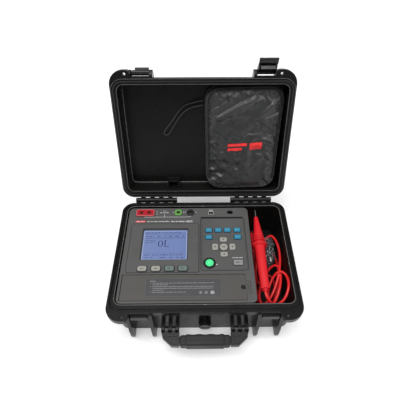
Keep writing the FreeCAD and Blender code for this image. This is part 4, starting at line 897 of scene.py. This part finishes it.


# ---- printed marks and painted shade laid as thin flat shapes
class Ink:
    """Flat shapes of print and painted shade gathered into one thin mesh."""

    def __init__(self, height):
        self.height = height
        self.points, self.faces = [], []

    def outline(self, loop):
        """One flat shape."""
        start = len(self.points)
        self.points += [mm(x, y, self.height) for x, y in loop]
        self.faces.append(list(range(start, start + len(loop))))

    def bar(self, x0, y0, x1, y1):
        """A flat bar between two corners."""
        self.outline([(x0, y0), (x1, y0), (x1, y1), (x0, y1)])

    def line(self, ends, width):
        """A run of straight strokes through the ends."""
        for (x0, y0), (x1, y1) in zip(ends, ends[1:]):
            length = math.hypot(x1 - x0, y1 - y0)
            across = ((y1 - y0) / length * width / 2, (x0 - x1) / length * width / 2)
            self.outline([(x0 - across[0], y0 - across[1]), (x0 + across[0], y0 + across[1]),
                          (x1 + across[0], y1 + across[1]), (x1 - across[0], y1 - across[1])])

    def text(self, x0, x1, y, height, seed, fill=0.86):
        """A line of plain upright bars in word-long groups, which says nothing."""
        source = random.Random(seed)
        x = x0
        while x < x1 - height * 0.3:
            word = min(x1 - x, height * source.uniform(1.6, 5))
            end = x + word
            while x < end - height * 0.28:
                wide = height * source.uniform(0.16, 0.34)
                tall = height * source.choice((0.7, 0.72, 1))
                base = y - height / 2
                self.bar(x, base, x + wide, base + tall)
                if source.random() < 0.55:
                    level = base + tall * source.choice((0.04, 0.45, 0.84))
                    self.bar(x + wide, level, x + wide + height * 0.22, level + height * 0.16)
                x += wide + height * (0.36 - 0.22 * fill)
            x = end + height * 0.55

    def ring(self, x0, y0, x1, y1, radius, width):
        """A thin rounded frame."""
        outer, inner = [], []
        for edge, inset in ((outer, 0), (inner, width)):
            r = max(radius - inset, 0.2)
            left, right, front, back = x0 + inset + r, x1 - inset - r, y0 + inset + r, y1 - inset - r
            for x, y, turn in ((right, back, 0), (left, back, 90), (left, front, 180), (right, front, 270)):
                for step in range(6):
                    angle = math.radians(turn + step * 18)
                    edge.append((x + r * math.cos(angle), y + r * math.sin(angle)))
        self.band(outer, inner)

    def circle(self, x, y, radius, width):
        """A thin round frame."""
        self.ring(x - radius, y - radius, x + radius, y + radius, radius, width)

    def band(self, outer, inner):
        """The faces between two loops with the same number of points."""
        start, count = len(self.points), len(outer)
        self.points += [mm(x, y, self.height) for x, y in outer + inner]
        for k in range(count):
            after = (k + 1) % count
            self.faces.append([start + k, start + after, start + count + after, start + count + k])

    def done(self, name, look, body="case", slot="panel_grey", thick=0.06):
        """Gives every shape a small thickness downwards and makes the piece."""
        count = len(self.points)
        points = self.points + [p - mm(0, 0, thick) for p in self.points]
        faces = list(self.faces)
        edges = {}
        for face in self.faces:
            faces.append([v + count for v in reversed(face)])
            for a, b in zip(face, face[1:] + face[:1]):
                if edges.pop((b, a), None) is None:
                    edges[(a, b)] = True
        faces += [[b, a, a + count, b + count] for a, b in edges]
        piece(name, points, faces, body, slot, look, smooth=False)


# The heights that carry print, and how proud of them the ink lies.
PANEL_TOP, FRAME_TOP, RECESS_TOP = 109, 110.5, 107.5
PROUD = 0.08
FILM_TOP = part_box("door_label")[1].z / MM

# the terminal row's legends, the line that joins its sockets and the title strip
ink = Ink(PANEL_TOP + PROUD)
ink.line([(-147.5, 104), (-147.5, 102.2), (-33.3, 102.2), (-33.3, 105.4)], 0.7)
ink.line([(-98.9, 102.2), (-98.9, 111.4)], 0.7)
ink.text(-110.5, -88.5, 116.2, 2.3, 3)
ink.text(-102, -95.4, 121.8, 2, 4)
for x, y in ((-118.6, 119.4), (-118, 112), (-77.4, 117.4), (-51, 117), (-46.6, 117.6),
             (-19.9, 117.4)):
    ink.bar(x - 0.45, y - 1.8, x + 0.45, y + 1.8)
ink.text(-140.6, -84, 88.6, 2.6, 11)
ink.text(-81, -42, 88.4, 3, 12, 1)
ink.ring(-41, 85.8, -28.6, 91, 1, 0.6)
ink.text(-39.8, -29.6, 88.4, 2.4, 13)
ink.text(13, 24.4, 124, 1.9, 5)
for k in range(3):
    ink.bar(14.6 + 2.8 * k, 120, 16.2 + 2.8 * k, 121.6)
ink.ring(11.2, 110.2, 24.8, 118.8, 1.6, 0.6)
ink.line([(-42, 124.6), (-42, 110.6), (-38.4, 106.6), (-29.2, 106.6), (-25.4, 110.6),
          (-25.4, 124.6)], 0.6)
ink.done("panel_legends", WHITE_INK)
ink = Ink(PANEL_TOP + PROUD)
ink.outline([(-169.4, 86.2), (-145.4, 86.2), (-144, 91.2), (-168, 91.2)])
ink.done("title_mark", RED_INK)
ink = Ink(PANEL_TOP + 2 * PROUD)
ink.text(-166.4, -147, 88.7, 2.6, 17, 1)
ink.done("title_mark_text", WHITE_INK)
ink = Ink(RECESS_TOP + PROUD)
ink.text(64.6, 89.4, -15.2, 2.2, 7)
ink.bar(26.4, -33.4, 29.6, -31.8)
ink.done("keypad_legends", WHITE_INK)

# painted shade: dark rings in the wells round the keys, and painted shadow lines along the keypad's step and
# recess, the display frame's foot, the battery door's gap and round the TEST button
ink = Ink(FRAME_TOP + PROUD)
for x in SOFTKEYS:
    ink.ring(x - 12.2, -52.2, x + 12.2, -36, 5, 1.5)
ink.done("softkey_well_shade", DARK_PRINT_AND_SHADE)
ink = Ink(RECESS_TOP + PROUD)
for x, y in BLUE_KEYS:
    ink.ring(x - 9, y - 7.2, x + 9, y + 6.9, 2.4, 0.9)
ink.ring(64.9, -36.9, 89.1, -20.9, 3, 0.9)
ink.circle(*OK_KEY, 11.4, 1.2)
ink.done("key_well_shade", DARK_PRINT_AND_SHADE)
ink = Ink(PANEL_TOP + PROUD)
ink.bar(-8, 97, 96, 101.4)
ink.ring(-8.6, -49.4, 100.2, 100.6, 7, 1.5)
ink.ring(-177, -53.6, -11.5, 82, 5, 0.9)
ink.line([(89, -57.6), (-182, -57.6), (-182, -118.9), (89, -118.9)], 0.9)
ink.circle(*TEST_BUTTON, 14.4, 0.9)
ink.done("panel_shade_lines", DARK_PRINT_AND_SHADE)

# painted shade: a dark ring down inside each of the four sockets
for number, (x, y) in enumerate(((-156.6, 115), (-137.2, 115), (-64.3, 115.2), (-33.8, 115.2)), start=1):
    ink = Ink(107)
    ink.circle(x, y, 4.55, 2.2)
    ink.done(f"socket_shade_{number}", DARK_PRINT_AND_SHADE, "case", "jack_black", 0.6)

# the pale edge of the red line terminal
low, high = (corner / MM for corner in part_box("line_terminal_block"))
ink = Ink(high.z + PROUD)
ink.ring(low.x + 1, low.y + 1, high.x - 1, high.y - 1, 4, 0.9)
ink.done("terminal_edge", PALE_RED, "case", "terminal_red")

# the display: pale edge, rows of marks and the over-range reading
LCD_TOP = 104.3
ink = Ink(LCD_TOP + PROUD)
ink.ring(-144.6, -17.6, -41.4, 63.2, 1.4, 1)
ink.done("display_edge", LCD_EDGE, "case", "lcd")
ink = Ink(LCD_TOP + PROUD)
for number, (level, height, spans) in enumerate((
        (57.6, 2.6, ((-140, -121), (-118.5, -104), (-100, -87), (-84, -56.2))),
        (47.6, 2.8, ((-138.6, -121), (-113, -105), (-96, -90), (-84.8, -76.3), (-70.3, -60.6),
                     (-52, -47))),
        (35.4, 1.8, ((-140, -115.6),)), (30.2, 1.8, ((-140, -115.6),)),
        (-4.4, 2.4, ((-139, -126), (-121, -116), (-113.4, -108), (-104, -84), (-80, -50))),
        (-11.4, 2.4, ((-138, -131), (-124, -119), (-102.2, -90), (-79.1, -73.5), (-64.3, -59),
                      (-54.8, -47.8))))):
    for x0, x1 in spans:
        ink.text(x0, x1, level, height, 100 + number + int(-x0), 1)
ink.line([(-141, 53), (-45.6, 53)], 0.35)
ink.line([(-141, 42.3), (-45.6, 42.3)], 0.9)
ink.line([(-141, 0.4), (-45.6, 0.4)], 0.35)
# a tall thin 0 and L with small feet
zero_left, zero_right, low_y, high_y = -109.6, -97.6, 17.6, 35.6
middle_x, middle_y = (zero_left + zero_right) / 2, (low_y + high_y) / 2
half_x, half_y = (zero_right - zero_left) / 2, (high_y - low_y) / 2
loop_points = 28
angles = [2 * math.pi * k / loop_points for k in range(loop_points)]
ink.band(*([(middle_x + reach_x * math.cos(angle), middle_y + reach_y * math.sin(angle)) for angle in angles]
           for reach_x, reach_y in ((half_x, half_y), (half_x - 2.3, half_y - 0.9))))
ink.bar(-93.8, 17.6, -91.6, 35.6)
ink.bar(-96, 34.8, -89.4, 35.6)
ink.bar(-91.6, 17.6, -84.6, 18.7)
ink.bar(-85.5, 18.7, -84.6, 22.2)
ink.done("display_marks", LCD_INK, "case", "lcd")

# the battery door's film: frame, lines of plain bars and three plain squares
ink = Ink(FILM_TOP + 0.07)
ink.ring(-128.4, -110, 36, -68, 3.5, 0.5)
ink.done("door_film_edge", FAINT_INK, "door", "label_film")
ink = Ink(FILM_TOP + 0.09)
for number, (x0, x1, level, height) in enumerate((
        (-118.3, -106, -73.8, 2.2), (-112.8, 20.3, -78.4, 1.7), (-112.8, -79.3, -82.4, 1.7),
        (-112.4, 20, -86.6, 1.7), (-112.1, 18, -90.8, 1.7), (-111.7, -88.2, -95, 1.7),
        (-112.6, -39.9, -99.6, 1.7))):
    ink.text(x0, x1, level, height, 40 + number, 1)
for x, level in ((-117, -78.4), (-117, -86.6), (-117, -99.6)):
    ink.bar(x - 0.6, level - 0.7, x + 0.6, level + 0.7)
for x in (-8.6, 3):
    ink.ring(x - 2.6, -103.6, x + 2.6, -98.4, 1, 0.7)
    ink.bar(x - 0.9, -101.9, x + 0.9, -100.1)
ink.bar(12.6, -104.4, 20.4, -97.4)
ink.done("door_film_text", GREY_INK, "door", "label_film")

# key legends, each riding with its own key
KEY_MARKS = [(f"softkey_{k}", x, SOFTKEY_LINE, 2.6, 7, DARK_PRINT_AND_SHADE) for k, x in enumerate(SOFTKEYS, 1)]
KEY_MARKS += [(f"blue_key_{k}", x, y, 2.4, 9.6, PALE_INK) for k, (x, y) in enumerate(BLUE_KEYS, 1)]
KEY_MARKS += [("ok_key", *OK_KEY, 3.2, 7.2, DARK_PRINT_AND_SHADE), ("power_key", *POWER_KEY, 2.6, 11, DARK_PRINT_AND_SHADE)]
for number, (key, x, y, height, width, look) in enumerate(KEY_MARKS):
    ink = Ink(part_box(key)[1].z / MM + 0.05)
    ink.text(x - width / 2, x + width / 2, y, height, 70 + number, 1)
    ink.done(f"{key}_legend", look, key, SLOTS[key], 0.3)
for key, dx, dy in (("arrow_up", 0, 1), ("arrow_down", 0, -1), ("arrow_left", -1, 0), ("arrow_right", 1, 0)):
    low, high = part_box(key)
    middle = (low + high) / 2 / MM
    x, y = middle.x + dx * 0.6, middle.y + dy * 0.6
    ink = Ink(high.z / MM + 0.05)
    ink.outline([(x + dx * 2.2, y + dy * 2.2), (x - dx * 1.5 - dy * 2.3, y - dy * 1.5 + dx * 2.3),
                 (x - dx * 1.5 + dy * 2.3, y - dy * 1.5 - dx * 2.3)])
    ink.done(f"{key}_legend", DARK_PRINT_AND_SHADE, key, "key_cream", 0.3)


# ---- floor and light
def floor():
    """A wide pale floor at the case's feet."""
    finish = Finish("floor_paint", Roughness=0.75, Emission_Strength=0.2, Emission_Color=(1, 1, 1, 1))
    finish.colour(finish.blend(finish.noise(3.0), (0.80, 0.80, 0.80, 1), (0.84, 0.84, 0.84, 1)))
    mesh = bpy.data.meshes.new("floor")
    reach = 14.0
    mesh.from_pydata([(-reach, -reach, 0), (reach, -reach, 0), (reach, reach, 0), (-reach, reach, 0)], [],
                     [(0, 1, 2, 3)])
    mesh.materials.append(finish.material)
    placed("floor", mesh)


def light(name, kind, energy, place, target, **settings):
    """A lamp at a place in metres, turned to a target."""
    lamp = bpy.data.lights.new(name, kind)
    tune(lamp, energy=energy, **settings)
    made = placed(name, lamp)
    made.location = place
    made.rotation_euler = (Vector(target) - Vector(place)).to_track_quat("-Z", "Y").to_euler()


floor()
world = bpy.data.worlds.new("studio")
world.use_nodes = True
backdrop = world.node_tree.nodes["Background"]
backdrop.inputs["Color"].default_value = (1.0, 1.0, 1.0, 1.0)
backdrop.inputs["Strength"].default_value = 0.28
SCENE.world = world
light("sun", "SUN", 2.6, (-0.25, -0.35, 2.4), (0, 0, 0.1), angle=math.radians(50))
for name, side in (("left_strip", -1), ("right_strip", 1)):
    light(name, "AREA", 4.0, (1.1 * side, -0.1 * side, 0.9), (0.0, 0.1, 0.2), shape="RECTANGLE",
          size=0.07, size_y=1.3)
